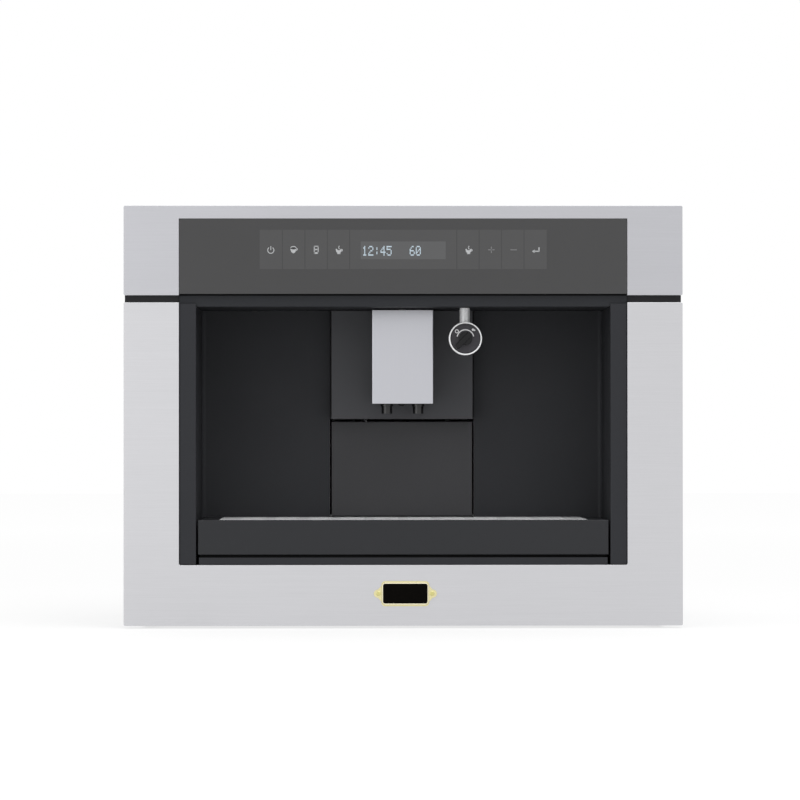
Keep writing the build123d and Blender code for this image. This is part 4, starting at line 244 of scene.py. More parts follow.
MATERIALS = {
    # Metals
    # lower_steel and upper_steel_painted_shade are one steel in two shades: the upper front's
    # darker colour is painted shade.
    "lower_steel": brushed("lower_steel", (0.605, 0.605, 0.625), 0.34, X, 0.035),
    "upper_steel_painted_shade": brushed("upper_steel_painted_shade", (0.52, 0.522, 0.55), 0.34, X, 0.035),
    "spout_steel": brushed("spout_steel", (0.525, 0.53, 0.565), 0.34, Z, 0.015),
    # grid_steel is near white and almost without metal: painted sheen, for the grid's bright gloss
    # at a grazing angle.
    "grid_steel": brushed("grid_steel", (0.95, 0.955, 0.965), 0.42, X, 0.03, metal=0.05),
    "black_steel": surface("black_steel", (0.012, 0.012, 0.014), 0.42, 0.8, 0.12,
                           height=0.01, Specular_IOR_Level=0.28),
    "zinc_sheet": spangled("zinc_sheet", (0.46, 0.47, 0.48), 0.48, 9.0, 0.8),
    "slide_steel": spangled("slide_steel", (0.60, 0.61, 0.62), 0.30, 4.0, 0.95),
    "zinc_screws": surface("zinc_screws", (0.62, 0.62, 0.62), 0.28, 0.5, 0.08,
                           height=0.01, Metallic=1.0),
    # Near black for the screws' cross recesses: painted shade.
    "screw_recess_shade": surface("screw_recess_shade", (0.05, 0.05, 0.05), 0.5, 0.4, 0.1),
    "burr_steel": surface("burr_steel", (0.52, 0.52, 0.54), 0.26, 0.3, 0.1,
                          height=0.02, stretch=(1, 1, 20), Metallic=1.0),
    "cast_aluminium": surface("cast_aluminium", (0.66, 0.66, 0.67), 0.42, 0.9, 0.08,
                              rough_spread=0.08, height=0.05, Metallic=0.9),
    # chromed_brass is near white and mostly without metal: painted reflection, for the chrome's
    # bright mirror.
    "chromed_brass": surface("chromed_brass", (0.96, 0.965, 0.975), 0.3, 3.0, 0.01,
                             rough_spread=0.03, height=0.002, cloud=10.0, Metallic=0.2),
    "brass_plate": surface("brass_plate", (0.76, 0.70, 0.40), 0.24, 0.6, 0.06,
                           rough_spread=0.06, height=0.006, cloud=12.0, Metallic=1.0),
    # The name plate bead's paler brass is a painted highlight.
    "brass_painted_highlight": surface("brass_painted_highlight", (0.83, 0.78, 0.58), 0.2, 0.6, 0.06,
                          rough_spread=0.06, height=0.006, cloud=12.0, Metallic=1.0),
    "brass_rivets": surface("brass_rivets", (0.66, 0.61, 0.26), 0.34, 0.5, 0.06,
                            height=0.006, Metallic=1.0),
    # The dark brass of the line round the name plate's bead is a painted shadow.
    "brass_painted_shadow": surface("brass_painted_shadow", (0.40, 0.34, 0.20), 0.5, 0.6, 0.12),
    "black_enamel": surface("black_enamel", (0.0022, 0.0018, 0.0012), 0.4, 1.2, 0.2,
                            height=0.004, cloud=14.0, Specular_IOR_Level=0.03),
    # Control glass, its fields and the board behind it
    "dark_glass": surface("dark_glass", (0.031, 0.031, 0.032), 0.07, 40.0, 0.02,
                          rough_spread=0.03, cloud=50.0, Coat_Weight=0.3, Coat_Roughness=0.04),
    "key_field": surface("key_field", (0.049, 0.049, 0.050), 0.1, 30.0, 0.02,
                         rough_spread=0.02, cloud=50.0, Coat_Weight=0.3, Coat_Roughness=0.04),
    "display_field": surface("display_field", (0.077, 0.078, 0.080), 0.1, 30.0, 0.02,
                             rough_spread=0.02, cloud=50.0, Coat_Weight=0.3,
                             Coat_Roughness=0.04),
    "lit_dots": glowing("lit_dots", (0.60, 0.74, 0.84), 0.85),
    "green_board": surface("green_board", (0.03, 0.17, 0.07), 0.38, 2.4, 0.22,
                           height=0.03, stretch=(6, 1, 1)),
    # Print
    "key_print": surface("key_print", (0.44, 0.45, 0.46), 0.4, 0.6, 0.04),
    "dim_print": surface("dim_print", (0.17, 0.17, 0.175), 0.4, 0.6, 0.04),
    "dial_print": surface("dial_print", (0.74, 0.74, 0.75), 0.4, 0.6, 0.04),
    "moulded_mark": surface("moulded_mark", (0.34, 0.345, 0.35), 0.45, 0.6, 0.04),
    # Black plastics and rubber
    "black_trim": moulded("black_trim", (0.025, 0.026, 0.030), 0.48, 0.2),
    "ceiling_black": moulded("ceiling_black", (0.034, 0.0355, 0.039), 0.65, 0.05),
    "bay_panels": moulded("bay_panels", (0.034, 0.035, 0.039), 0.55, 0.15),
    "housing_black": moulded("housing_black", (0.071, 0.072, 0.078), 0.52, 0.2),
    "drawer_black": moulded("drawer_black", (0.060, 0.060, 0.064), 0.52, 0.2),
    "black_moulding": moulded("black_moulding", (0.030, 0.031, 0.034), 0.45, 0.3),
    "black_tray": moulded("black_tray", (0.023, 0.024, 0.027), 0.44, 0.25),
    "black_dial": surface("black_dial", (0.012, 0.012, 0.013), 0.34, 0.3, 0.1,
                          height=0.008, Specular_IOR_Level=0.22),
    "dial_face": surface("dial_face", (0.042, 0.040, 0.046), 0.3, 0.3, 0.1,
                         height=0.008, Specular_IOR_Level=0.25),
    "wing_black": surface("wing_black", (0.003, 0.003, 0.004), 0.3, 0.3, 0.1,
                          height=0.008, Specular_IOR_Level=0.3),
    "nozzle_black": surface("nozzle_black", (0.008, 0.008, 0.009), 0.27, 0.45, 0.08,
                            height=0.006, Specular_IOR_Level=0.55),
    "seal_rubber": surface("seal_rubber", (0.006, 0.006, 0.006), 0.7, 0.6, 0.1,
                           height=0.02, Specular_IOR_Level=0.1),
    # Other plastics and hoses
    "bearing_plastic": surface("bearing_plastic", (0.72, 0.72, 0.68), 0.4, 0.6, 0.03,
                               height=0.01),
    "clear_plastic": surface("clear_plastic", (0.86, 0.91, 0.94), 0.08, 30.0, 0.02,
                             rough_spread=0.04, cloud=40.0, Transmission_Weight=0.9,
                             IOR=1.3, Alpha=0.75),
    "smoky_plastic": surface("smoky_plastic", (0.20, 0.20, 0.22), 0.12, 30.0, 0.03,
                             rough_spread=0.04, cloud=40.0, Transmission_Weight=0.6,
                             IOR=1.3, Alpha=0.85),
    "grey_plastic": surface("grey_plastic", (0.13, 0.134, 0.14), 0.45, 0.5, 0.06,
                            height=0.02),
    "white_plastic": surface("white_plastic", (0.76, 0.76, 0.73), 0.36, 0.6, 0.02,
                             height=0.01),
    "pump_plastic": surface("pump_plastic", (0.50, 0.11, 0.08), 0.4, 0.7, 0.08,
                            height=0.02),
    "clear_hose": surface("clear_hose", (0.80, 0.80, 0.76), 0.22, 6.0, 0.03,
                          height=0.01, Transmission_Weight=0.4, Alpha=0.9),
    "white_hose": surface("white_hose", (0.82, 0.82, 0.79), 0.3, 4.0, 0.03, height=0.01),
}
# Nodes whose look differs from that of their material slot.
FINISH = {
    "upper_front": "upper_steel_painted_shade", "lower_front": "lower_steel",
    "bay_wall_left": "bay_panels", "bay_wall_right": "bay_panels",
    "bay_ceiling": "ceiling_black", "grounds_drawer": "drawer_black",
    "spout_housing": "housing_black", "spout_body": "nozzle_black",
    "tap_dial": "dial_face", "tap_wing": "wing_black",
    "name_plate_rivets": "brass_rivets",
}
for part in frame["record"]["subparts"]:
    for slot in frame["nodes"][part["node"]].material_slots:
        slot.material = MATERIALS[FINISH.get(part["node"], part["material_slot"])]


# ---------------------------------------------------------------- outlines
def arc(x, z, radius, width, start, end, steps=20):
    """Outlines of a ring's part, seen from the front; degrees, anticlockwise from the right."""
    pieces = 2 if end - start > 180 else 1
    outlines = []
    for piece in range(pieces):
        begin = start + (end - start) * piece / pieces
        finish = start + (end - start) * (piece + 1) / pieces
        angles = [math.radians(begin + (finish - begin) * i / steps) for i in range(steps + 1)]
        outer = [(x + (radius + width / 2) * math.cos(a), z + (radius + width / 2) * math.sin(a))
                 for a in angles]
        inner = [(x + (radius - width / 2) * math.cos(a), z + (radius - width / 2) * math.sin(a))
                 for a in reversed(angles)]
        outlines.append(outer + inner)
    return outlines


def oval(x, z, tall, wide, width, steps=36):
    """An oval line, as two halves: tall is half its height and wide half its width."""
    halves = []
    for first in (0, steps // 2):
        turn = [2 * math.pi * (first + i) / steps for i in range(steps // 2 + 1)]
        outer = [(x + wide * math.cos(t), z + tall * math.sin(t)) for t in turn]
        inner = [(x + (wide - width) * math.cos(t), z + (tall - width) * math.sin(t))
                 for t in reversed(turn)]
        halves.append(outer + inner)
    return halves


def disc(x, z, radius, steps=24):
    return [[(x + radius * math.cos(2 * math.pi * i / steps),
              z + radius * math.sin(2 * math.pi * i / steps)) for i in range(steps)]]


def bar(x0, z0, x1, z1, width):
    """A straight stroke from one point to another."""
    length = math.hypot(x1 - x0, z1 - z0)
    nx, nz = -(z1 - z0) / length * width / 2, (x1 - x0) / length * width / 2
    return [[(x0 - nx, z0 - nz), (x1 - nx, z1 - nz), (x1 + nx, z1 + nz), (x0 + nx, z0 + nz)]]


def panel(x0, z0, x1, z1, corner=0.0, steps=5):
    """A rectangle, with rounded corners where a radius is given."""
    if not corner:
        return [[(x0, z0), (x1, z0), (x1, z1), (x0, z1)]]
    points = []
    for cx, cz, first in ((x1 - corner, z0 + corner, -90), (x1 - corner, z1 - corner, 0),
                          (x0 + corner, z1 - corner, 90), (x0 + corner, z0 + corner, 180)):
        for i in range(steps + 1):
            angle = math.radians(first + 90 * i / steps)
            points.append((cx + corner * math.cos(angle), cz + corner * math.sin(angle)))
    return [points]


# ---------------------------------------------------------------- pieces
def add_piece(name, bm, material, body):
    """The mesh as a piece of the scene, with its look and the body that it rides on."""
    mesh = bpy.data.meshes.new(name)
    bm.to_mesh(mesh)
    bm.free()
    piece = bpy.data.objects.new(name, mesh)
    bpy.context.scene.collection.objects.link(piece)
    mesh.materials.append(MATERIALS[material])
    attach(piece, body)


def mark(name, outlines, material, body, point, thickness=PRINT):
    """Flat shapes standing on a surface. point turns (across, up, out) into the frame."""
    bm = bmesh.new()
    for outline in outlines:
        foot = [bm.verts.new(point(a, b, 0.0)) for a, b in outline]
        top = [bm.verts.new(point(a, b, thickness)) for a, b in outline]
        bm.faces.new(top)
        bm.faces.new(list(reversed(foot)))
        for i in range(len(foot)):
            j = (i + 1) % len(foot)
            bm.faces.new((foot[i], foot[j], top[j], top[i]))
    bmesh.ops.recalc_face_normals(bm, faces=bm.faces)
    add_piece(name, bm, material, body)


def loft(name, rings, material, body, closed=False):
    """A smooth skin over rings of points, each ring the same count, its ends filled."""
    bm = bmesh.new()
    rows = [[bm.verts.new(point) for point in ring] for ring in rings]
    last = len(rows) if closed else len(rows) - 1
    for i in range(last):
        here, there = rows[i], rows[(i + 1) % len(rows)]
        for j in range(len(here)):
            k = (j + 1) % len(here)
            bm.faces.new((here[j], here[k], there[k], there[j]))
    if not closed:
        bm.faces.new(list(reversed(rows[0])))
        bm.faces.new(rows[-1])
    bmesh.ops.recalc_face_normals(bm, faces=bm.faces)
    for face in bm.faces:
        face.smooth = len(face.verts) == 4
    add_piece(name, bm, material, body)


def bead(name, outline, reach, depth, material, body, steps=10):
    """A round bead along a closed outline, half sunk in a surface that faces the front."""
    count = len(outline)
    rings = []
    for i in range(count):
        x, z = outline[i]
        before, after = outline[i - 1], outline[(i + 1) % count]
        along_x, along_z = after[0] - before[0], after[1] - before[1]
        length = math.hypot(along_x, along_z)
        nx, nz = -along_z / length, along_x / length
        ring = []
        for j in range(steps):
            angle = 2 * math.pi * j / steps
            out = reach * math.cos(angle)
            ring.append(place(x + nx * out, depth - reach * math.sin(angle), z + nz * out))
        rings.append(ring)
    loft(name, rings, material, body, closed=True)


def lathe(name, x, depth, profile, material, body, steps=24):
    """A turned shape on an upright axis: profile is a list of (radius, z)."""
    rings = [[place(x + radius * math.cos(2 * math.pi * j / steps),
                    depth + radius * math.sin(2 * math.pi * j / steps), z)
              for j in range(steps)] for radius, z in profile]
    loft(name, rings, material, body)


def on_front(depth):
    """Points on a surface that faces the front."""
    return lambda a, b, out: place(a, depth - out, b)


def onto(axis, sign, *names):
    """Points on the nodes' skin, seen along an axis: by (x, z) for Y, by (x, depth) for Z."""
    points, polygons = [], []
    for name in names:
        mesh = frame["nodes"][name].data
        polygons += [tuple(i + len(points) for i in p.vertices) for p in mesh.polygons]
        points += [v.co for v in mesh.vertices]
    skin = BVHTree.FromPolygons(points, polygons)
    direction = Vector([-sign if i == axis else 0 for i in range(3)])

    def point(a, b, out):
        start = place(a, 0, b) if axis == Y else place(a, b, 0)
        start[axis] = sign
        hit, normal = skin.ray_cast(start, direction)[:2]
        if hit is None:
            raise ValueError(f"the mark at {a:.1f}, {b:.1f} misses {names}")
        return hit + normal * out * MM

    return point


# ---------------------------------------------------------------- control glass
# Eight lighter fields for the keys, and one for the display between them.
glass_face = low("control_glass")[1]
KEY_ROW_Z = 402.9
STRIP_LOW, STRIP_HIGH = 382.4, 424.2
SEPARATORS = (57.0, 80.8, 104.6, 128.6, 153.2)   # from the middle, to either side
SEPARATOR_WIDTH = 1.0
fields = []
for inner, outer in zip(SEPARATORS, SEPARATORS[1:]):
    for side in (-1, 1):
        edges = sorted((side * (inner + SEPARATOR_WIDTH / 2), side * (outer - SEPARATOR_WIDTH / 2)))
        fields += panel(edges[0], STRIP_LOW, edges[1], STRIP_HIGH)
middle = SEPARATORS[0] - SEPARATOR_WIDTH / 2
fields += panel(-middle, STRIP_LOW, middle, STRIP_HIGH)
mark("key_fields", fields, "key_field", "machine", on_front(glass_face), THIN_PRINT)
WINDOW_X, WINDOW_LOW, WINDOW_HIGH = 45.2, 392.9, 411.8
on_fields = on_front(glass_face - THIN_PRINT)
on_window = on_front(glass_face - 2 * THIN_PRINT)
mark("display_window", panel(-WINDOW_X, WINDOW_LOW, WINDOW_X, WINDOW_HIGH), "display_field",
     "machine", on_fields, THIN_PRINT)

# The display's dots: a clock and an amount, as plain numbers.
FONT = {
    "0": ("01110", "10001", "10011", "10101", "11001", "10001", "01110"),
    "1": ("00100", "01100", "00100", "00100", "00100", "00100", "01110"),
    "2": ("01110", "10001", "00001", "00110", "01000", "10000", "11111"),
    "4": ("00010", "00110", "01010", "10010", "11111", "00010", "00010"),
    "5": ("11111", "10000", "11110", "00001", "00001", "10001", "01110"),
    "6": ("00110", "01000", "10000", "11110", "10001", "10001", "01110"),
    ":": ("00000", "00100", "00100", "00000", "00100", "00100", "00000"),
}
LETTER_COLUMNS = 6            # of dots, with the gap to the next letter
DOT_X, DOT_Z = 1.08, 1.5      # from one dot to the next
DOT_WIDTH, DOT_HEIGHT = 0.95, 1.3
TEXT_TOP = 407.0
CLOCK_LEFT, AMOUNT_LEFT = -43.6, 6.9


def text(letters, left):
    dots = []
    for index, letter in enumerate(letters):
        for row, line in enumerate(FONT[letter]):
            for column, lit in enumerate(line):
                if lit == "1":
                    x = left + (index * LETTER_COLUMNS + column) * DOT_X
                    z = TEXT_TOP - row * DOT_Z
                    dots += panel(x, z - DOT_HEIGHT, x + DOT_WIDTH, z)
    return dots


mark("display_digits", text("12:45", CLOCK_LEFT) + text("60", AMOUNT_LEFT), "lit_dots",
     "machine", on_window)

# Printed symbols of the keys, from each key's middle. A stroke is given by x and z at
# both ends, and its width.
LEFT_KEYS = (-140.9, -116.4, -92.6, -68.1)
RIGHT_KEYS = (70.0, 93.8, 117.6, 141.3)
STROKES = {
    "power": ((0, -0.2, 0, 4.0, 0.85),),
    "glass": ((-2.1, -4.1, -2.1, 4.1, 0.9), (2.1, -4.1, 2.1, 4.1, 0.9),
              (-2.5, 3.8, 2.5, 3.8, 1.0), (-2.5, -3.4, 2.5, -3.4, 1.8),
              (-1.2, 0.3, 1.2, 0.3, 1.3)),
    "saucer_and_steam": ((-2.2, -4.2, 1.4, -4.2, 0.7), (0.1, 0.6, -0.7, 2.6, 0.9),
                         (-0.7, 2.4, 0.1, 4.2, 0.9)),
    "enter": ((3.3, 2.6, 3.3, -1.6, 1.2), (-2.0, -1.6, 3.9, -1.6, 1.2)),
    "plus": ((-3.4, 0, 3.4, 0, 1.0), (0, -3.4, 0, 3.4, 1.0)),
    "minus": ((-3.4, 0, 3.4, 0, 1.0),),
}
ARROW_HEAD = ((-4.2, -1.6), (-1.4, -3.4), (-1.4, 0.2))
POWER_RADIUS, POWER_WIDTH, POWER_DROP = 3.3, 0.85, 0.4
POWER_ENDS = (125, 415)       # the ring is open at the top
CUP_SHIFT = -0.5              # a cup stands left of its key's middle, beside its handle
CUP_HALF = 3.2
HANDLE_WIDTH, HANDLE_OVERLAP, HANDLE_DROP = 0.8, 0.3, 0.4
HANDLE_ENDS, HANDLE_STEPS = (-85, 95), 8
WIDE_RIM, WIDE_RIM_TALL, WIDE_RIM_WIDTH = 2.2, 1.8, 0.9
STEAMING_RIM = 1.0


def strokes(symbol, x):
    return sum((bar(x + x0, KEY_ROW_Z + z0, x + x1, KEY_ROW_Z + z1, width)
                for x0, z0, x1, z1, width in STROKES[symbol]), [])


def cup(x, rim, deep, hollow, handle, steps=16):
    """A bowl below its rim, less a hollow of half a width and a depth, and a handle's radius."""
    x, top = x + CUP_SHIFT, KEY_ROW_Z + rim
    turn = [math.pi + math.pi * i / steps for i in range(steps + 1)]
    bowl = [(x + CUP_HALF * math.cos(t), top + deep * math.sin(t)) for t in turn]
    bowl += [(x + hollow[0] * math.cos(t), top + hollow[1] * math.sin(t)) for t in reversed(turn)]
    return [bowl] + arc(x + CUP_HALF - HANDLE_OVERLAP, top - handle - HANDLE_DROP, handle,
                        HANDLE_WIDTH, *HANDLE_ENDS, HANDLE_STEPS)


power_x, cup_x, glass_x, hot_x = LEFT_KEYS
second_x, plus_x, minus_x, enter_x = RIGHT_KEYS
symbols = arc(power_x, KEY_ROW_Z - POWER_DROP, POWER_RADIUS, POWER_WIDTH, *POWER_ENDS)
symbols += strokes("power", power_x)
symbols += cup(cup_x, WIDE_RIM, deep=5.9, hollow=(2.2, 0.9), handle=1.2)
symbols += oval(cup_x + CUP_SHIFT, KEY_ROW_Z + WIDE_RIM, WIDE_RIM_TALL, CUP_HALF, WIDE_RIM_WIDTH)
symbols += strokes("glass", glass_x)
for x in (hot_x, second_x):
    symbols += cup(x, STEAMING_RIM, deep=4.9, hollow=(1.9, 1.5), handle=1.0)
    symbols += strokes("saucer_and_steam", x)
symbols += strokes("enter", enter_x)
symbols += [[(enter_x + a, KEY_ROW_Z + b) for a, b in ARROW_HEAD]]
mark("key_symbols", symbols, "key_print", "machine", on_fields)
mark("key_symbols_dim", strokes("plus", plus_x) + strokes("minus", minus_x), "dim_print",
     "machine", on_fields)

# ---------------------------------------------------------------- steam tap
# Marks on its dial, from the tap's axis: an arc of travel, a ring for shut, and two drops
# for steam, each given by x, z and radius.
TRAVEL_RISE, TRAVEL_RADIUS, TRAVEL_WIDTH, TRAVEL_ENDS = 0.4, 9.0, 1.2, (11, 169)
SHUT_X, SHUT_Z, SHUT_RADIUS, SHUT_WIDTH, SHUT_ENDS = -9.2, 7.7, 1.7, 0.8, (0, 359)
STEAM_DROPS = ((8.1, 9.4, 1.3), (9.7, 8.9, 0.9))
BEZEL_RADIUS, BEZEL_WIDTH, BEZEL_STEPS = 15.95, 0.7, 40
tap_low, tap_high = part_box("tap_dial")
TAP_X = (tap_low.x + tap_high.x) / 2 / MM
TAP_Z = (tap_low.z + tap_high.z) / 2 / MM
dial_marks = arc(TAP_X, TAP_Z + TRAVEL_RISE, TRAVEL_RADIUS, TRAVEL_WIDTH, *TRAVEL_ENDS)
dial_marks += arc(TAP_X + SHUT_X, TAP_Z + SHUT_Z, SHUT_RADIUS, SHUT_WIDTH, *SHUT_ENDS)
for x, z, radius in STEAM_DROPS:
    dial_marks += disc(TAP_X + x, TAP_Z + z, radius)
mark("dial_bezel", arc(TAP_X, TAP_Z, BEZEL_RADIUS, BEZEL_WIDTH, 0, 360, BEZEL_STEPS),
     "black_dial", "steam_tap", on_front(low("tap_body")[1]))
mark("dial_marks", dial_marks, "dial_print", "steam_tap",
     on_front(depth_of(tap_low.y)))

# ---------------------------------------------------------------- front
# Small gussets that round the steel's lower inner corners, over the black trims.
GUSSET, GUSSET_THICKNESS, GUSSET_STEPS = 2.2, 1.2, 8
for side, name in ((-1, "left"), (1, "right")):
    curve = [(side * (APERTURE_HALF - GUSSET + GUSSET * math.sin(t)),
              APERTURE_BOTTOM + GUSSET - GUSSET * math.cos(t))
             for t in (math.pi / 2 * i / GUSSET_STEPS for i in range(GUSSET_STEPS + 1))]
    mark(f"aperture_gusset_{name}", [[(side * APERTURE_HALF, APERTURE_BOTTOM)] + curve[::-1]],
         "lower_steel", "machine", on_front(GUSSET_THICKNESS), GUSSET_THICKNESS)

# Name plate: a fine raised bead round its bare field in paler brass, a painted highlight, and a
# flat dark line round the bead, a painted shadow as of a groove.
BEAD, BEAD_SUNK, BEAD_CORNER = 0.55, 0.1, 2.9
SHADOW_LINE, SHADOW_LINE_WIDTH = 1.45, 0.3
field_low, field_high = low("name_plate_field"), high("name_plate_field")
plate_face = low("name_plate")[1]


def round_field(offset):
    """The field's outline with round corners, moved outwards."""
    return panel(field_low[0] - offset, field_low[2] - offset, field_high[0] + offset,
                 field_high[2] + offset, BEAD_CORNER - BEAD + offset)[0]


bead("name_plate_bead", round_field(BEAD), BEAD, plate_face + BEAD_SUNK, "brass_painted_highlight",
     "machine")
# A flat dark line round the bead, as painted shadow.
near, far = round_field(SHADOW_LINE - SHADOW_LINE_WIDTH / 2), round_field(SHADOW_LINE + SHADOW_LINE_WIDTH / 2)
mark("name_plate_shadow_line",
     [[near[i - 1], near[i], far[i], far[i - 1]] for i in range(len(near))],
     "brass_painted_shadow", "machine", on_front(plate_face), THIN_PRINT)

# Round stop between the two nozzles of the spout: radius, and z from the face's lower edge.
STOP_PROFILE = ((3.4, 1.0), (3.4, -1.4), (2.6, -2.4), (1.0, -2.8))
STOP_LEFT = 1.0               # left of the spout's middle
STOP_DEPTH = 80.0
spout_low, spout_high = low("spout_face"), high("spout_face")
lathe("spout_stop", (spout_low[0] + spout_high[0]) / 2 - STOP_LEFT, STOP_DEPTH,
      [(radius, spout_low[2] + z) for radius, z in STOP_PROFILE],
      "black_dial", "coffee_spout")

# ---------------------------------------------------------------- case screws
RECESS, RECESS_WIDTH = 1.9, 0.8   # reach and width of a cross painted dark on each head, as painted shade in its recess
WELD_DIGITS = 6               # points that agree to so many decimals are one


def islands(node):
    """The separate solids of a node, each as the list of its points."""
    mesh = node.data
    parent = list(range(len(mesh.vertices)))

    def root(i):
        while parent[i] != i:
            parent[i] = parent[parent[i]]
            i = parent[i]
        return i

    same = {}
    for vertex in mesh.vertices:
        key = tuple(round(c, WELD_DIGITS) for c in vertex.co)
        parent[root(vertex.index)] = root(same.setdefault(key, vertex.index))
    for edge in mesh.edges:
        parent[root(edge.vertices[0])] = root(edge.vertices[1])
    groups = {}
    for vertex in mesh.vertices:
        groups.setdefault(root(vertex.index), []).append(vertex.co)
    return list(groups.values())


def on_head(points, case_centre):
    """Points on a screw's head, whose axis is the longest side of the screw's box."""
    corner_low = Vector([min(p[i] for p in points) for i in range(3)])
    corner_high = Vector([max(p[i] for p in points) for i in range(3)])
    extent = corner_high - corner_low
    centre = (corner_low + corner_high) / 2
    axis = max(range(3), key=lambda i: extent[i])
    sign = 1 if centre[axis] > case_centre[axis] or axis == Z else -1
    head = corner_high[axis] if sign > 0 else corner_low[axis]
    first, second = [i for i in range(3) if i != axis]

    def point(a, b, out):
        place_on_head = Vector(centre)
        place_on_head[axis] = head + sign * out * MM
        place_on_head[first] += a * MM
        place_on_head[second] += b * MM
        return place_on_head

    return point


cover_low, cover_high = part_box("top_cover")
cross = bar(-RECESS, 0, RECESS, 0, RECESS_WIDTH) + bar(0, -RECESS, 0, RECESS, RECESS_WIDTH)
for index, screw in enumerate(islands(frame["nodes"]["case_screws"])):
    mark(f"screw_recess_shade_{index + 1}", cross, "screw_recess_shade", "machine",
         on_head(screw, (cover_low + cover_high) / 2))

# ---------------------------------------------------------------- marks on the case
# Rocker switch: I above, O below, from the rocker's middle.
ROCKER_I, ROCKER_I_WIDTH = (3.4, 6.4), 0.8
ROCKER_O, ROCKER_O_RADIUS, ROCKER_O_WIDTH, ROCKER_O_STEPS = -4.9, 1.5, 0.7, 12
rocker_x, _, rocker_z = centre_of("mains_rocker")
mark("rocker_marks",
     bar(rocker_x, rocker_z + ROCKER_I[0], rocker_x, rocker_z + ROCKER_I[1], ROCKER_I_WIDTH)
     + arc(rocker_x, rocker_z + ROCKER_O, ROCKER_O_RADIUS, ROCKER_O_WIDTH, 0, 360, ROCKER_O_STEPS),
     "dial_print", "mains_rocker", onto(Y, 1, "mains_rocker"))

# Grind dial: a pointer on the knob and dots that grow from fine to coarse on the deck.
POINTER, POINTER_WIDTH = (3, 9.5), 1.4
GRIND_DOTS, GRIND_RING, GRIND_PITCH = 9, 15.5, 15
FINEST_DOT, DOT_GROWTH, GRIND_DOT_STEPS = 0.45, 0.09, 12
dial_x, dial_depth, _ = centre_of("grind_dial")
mark("grind_pointer",
     bar(dial_x, dial_depth - POINTER[0], dial_x, dial_depth - POINTER[1], POINTER_WIDTH),
     "dial_print", "grind_dial", onto(Z, 1, "grind_dial"))
dots = []
for step in range(GRIND_DOTS):
    angle = math.radians(-90 + (step - (GRIND_DOTS - 1) / 2) * GRIND_PITCH)
    dots += disc(dial_x + GRIND_RING * math.cos(angle), dial_depth + GRIND_RING * math.sin(angle),
                 FINEST_DOT + DOT_GROWTH * step, GRIND_DOT_STEPS)
mark("grind_dots", dots, "dial_print", "machine",
     onto(Z, 1, "filling_deck", "top_cover", "hopper_lid"))

# Raised symbols on the lids: a drop, a bean and a scoop.
LID_RELIEF, LID_LINE = 0.25, 1.6
DROP_RADIUS, DROP_BACK, DROP_ENDS = 9, 4, (150, 390)
DROP_HALF, DROP_FOOT, DROP_TIP = 7.8, 0.5, 14
BEAN_TALL, BEAN_WIDE = 14, 9
SEAM_X, SEAM_DEPTH, SEAM_RADIUS, SEAM_SWEEP = 4.4, 6.2, 6.0, 85
SCOOP_BOWL, SCOOP_RADIUS, SCOOP_LINE = -3, 3.4, 1.1
SCOOP_HANDLE, SCOOP_HANDLE_WIDTH = (0.6, 9), 1.4


def drop(x, depth):
    lines = arc(x, depth - DROP_BACK, DROP_RADIUS, LID_LINE, *DROP_ENDS)
    for side in (-1, 1):
        lines += bar(x + side * DROP_HALF, depth + DROP_FOOT, x, depth + DROP_TIP, LID_LINE)
    return lines


def bean(x, depth):
    """An oval with a seam of two arcs, which bend opposite ways."""
    lines = oval(x, depth, BEAN_TALL, BEAN_WIDE, LID_LINE)
    for side, start in ((-1, -20), (1, 160)):
        lines += arc(x + side * SEAM_X, depth + side * SEAM_DEPTH, SEAM_RADIUS, LID_LINE,
                     start, start + SEAM_SWEEP)
    return lines


def scoop(x, depth):
    return (arc(x + SCOOP_BOWL, depth, SCOOP_RADIUS, SCOOP_LINE, 0, 360)
            + bar(x + SCOOP_HANDLE[0], depth, x + SCOOP_HANDLE[1], depth, SCOOP_HANDLE_WIDTH))


for name, symbol, lid in (("tank_symbol", drop, "tank_lid"), ("hopper_symbol", bean, "hopper_lid"),
                          ("chute_symbol", scoop, "chute_lid")):
    x, depth, _ = centre_of(lid)
    mark(name, symbol(x, depth), "moulded_mark", lid, onto(Z, 1, lid), LID_RELIEF)

# Level lines on the front of the water tank: share of its height, and half the line's length.
LEVELS = ((0.88, 16), (0.68, 10), (0.48, 10), (0.28, 10))
LEVEL_WIDTH = 0.8
tank_x = centre_of("water_tank")[0]
tank_bottom, tank_top = low("water_tank")[2], high("water_tank")[2]
lines = []
for share, reach in LEVELS:
    z = tank_bottom + (tank_top - tank_bottom) * share
    lines += bar(tank_x - reach, z, tank_x + reach, z, LEVEL_WIDTH)
mark("tank_levels", lines, "dial_print", "water_tank", onto(Y, -1, "water_tank"))

# Rubber seal on the shelf, in the gap below the tray's front.
SEAL_RADIUS, SEAL_DEPTH, SEAL_INSET, SEAL_STEPS = 1.25, 7.2, 0.5, 12
seal_ends = (low("tray_shelf")[0] + SEAL_INSET, high("tray_shelf")[0] - SEAL_INSET)
seal_z = TRAY_SHELF_TOP + SEAL_RADIUS
seal_rings = [[place(x, SEAL_DEPTH + SEAL_RADIUS * math.cos(2 * math.pi * j / SEAL_STEPS),
                     seal_z + SEAL_RADIUS * math.sin(2 * math.pi * j / SEAL_STEPS))
               for j in range(SEAL_STEPS)] for x in seal_ends]
loft("tray_seal", seal_rings, "seal_rubber", "machine")

# ---------------------------------------------------------------- stage
WHITE = (1.0, 1.0, 1.0, 1)
FLOOR_PALE = (0.9, 0.9, 0.9, 1)
FLOOR_REACH = 9.0
SHADOW_SHARE = 0.35           # of the floor's shade that the lamps and the shadow make
NEAR_WHITE, FAR_WHITE = 1.081, 1.172
NEAR_AND_FAR = (1.2, 4.0)     # metres from the object
ROOM_LIGHT = 0.7


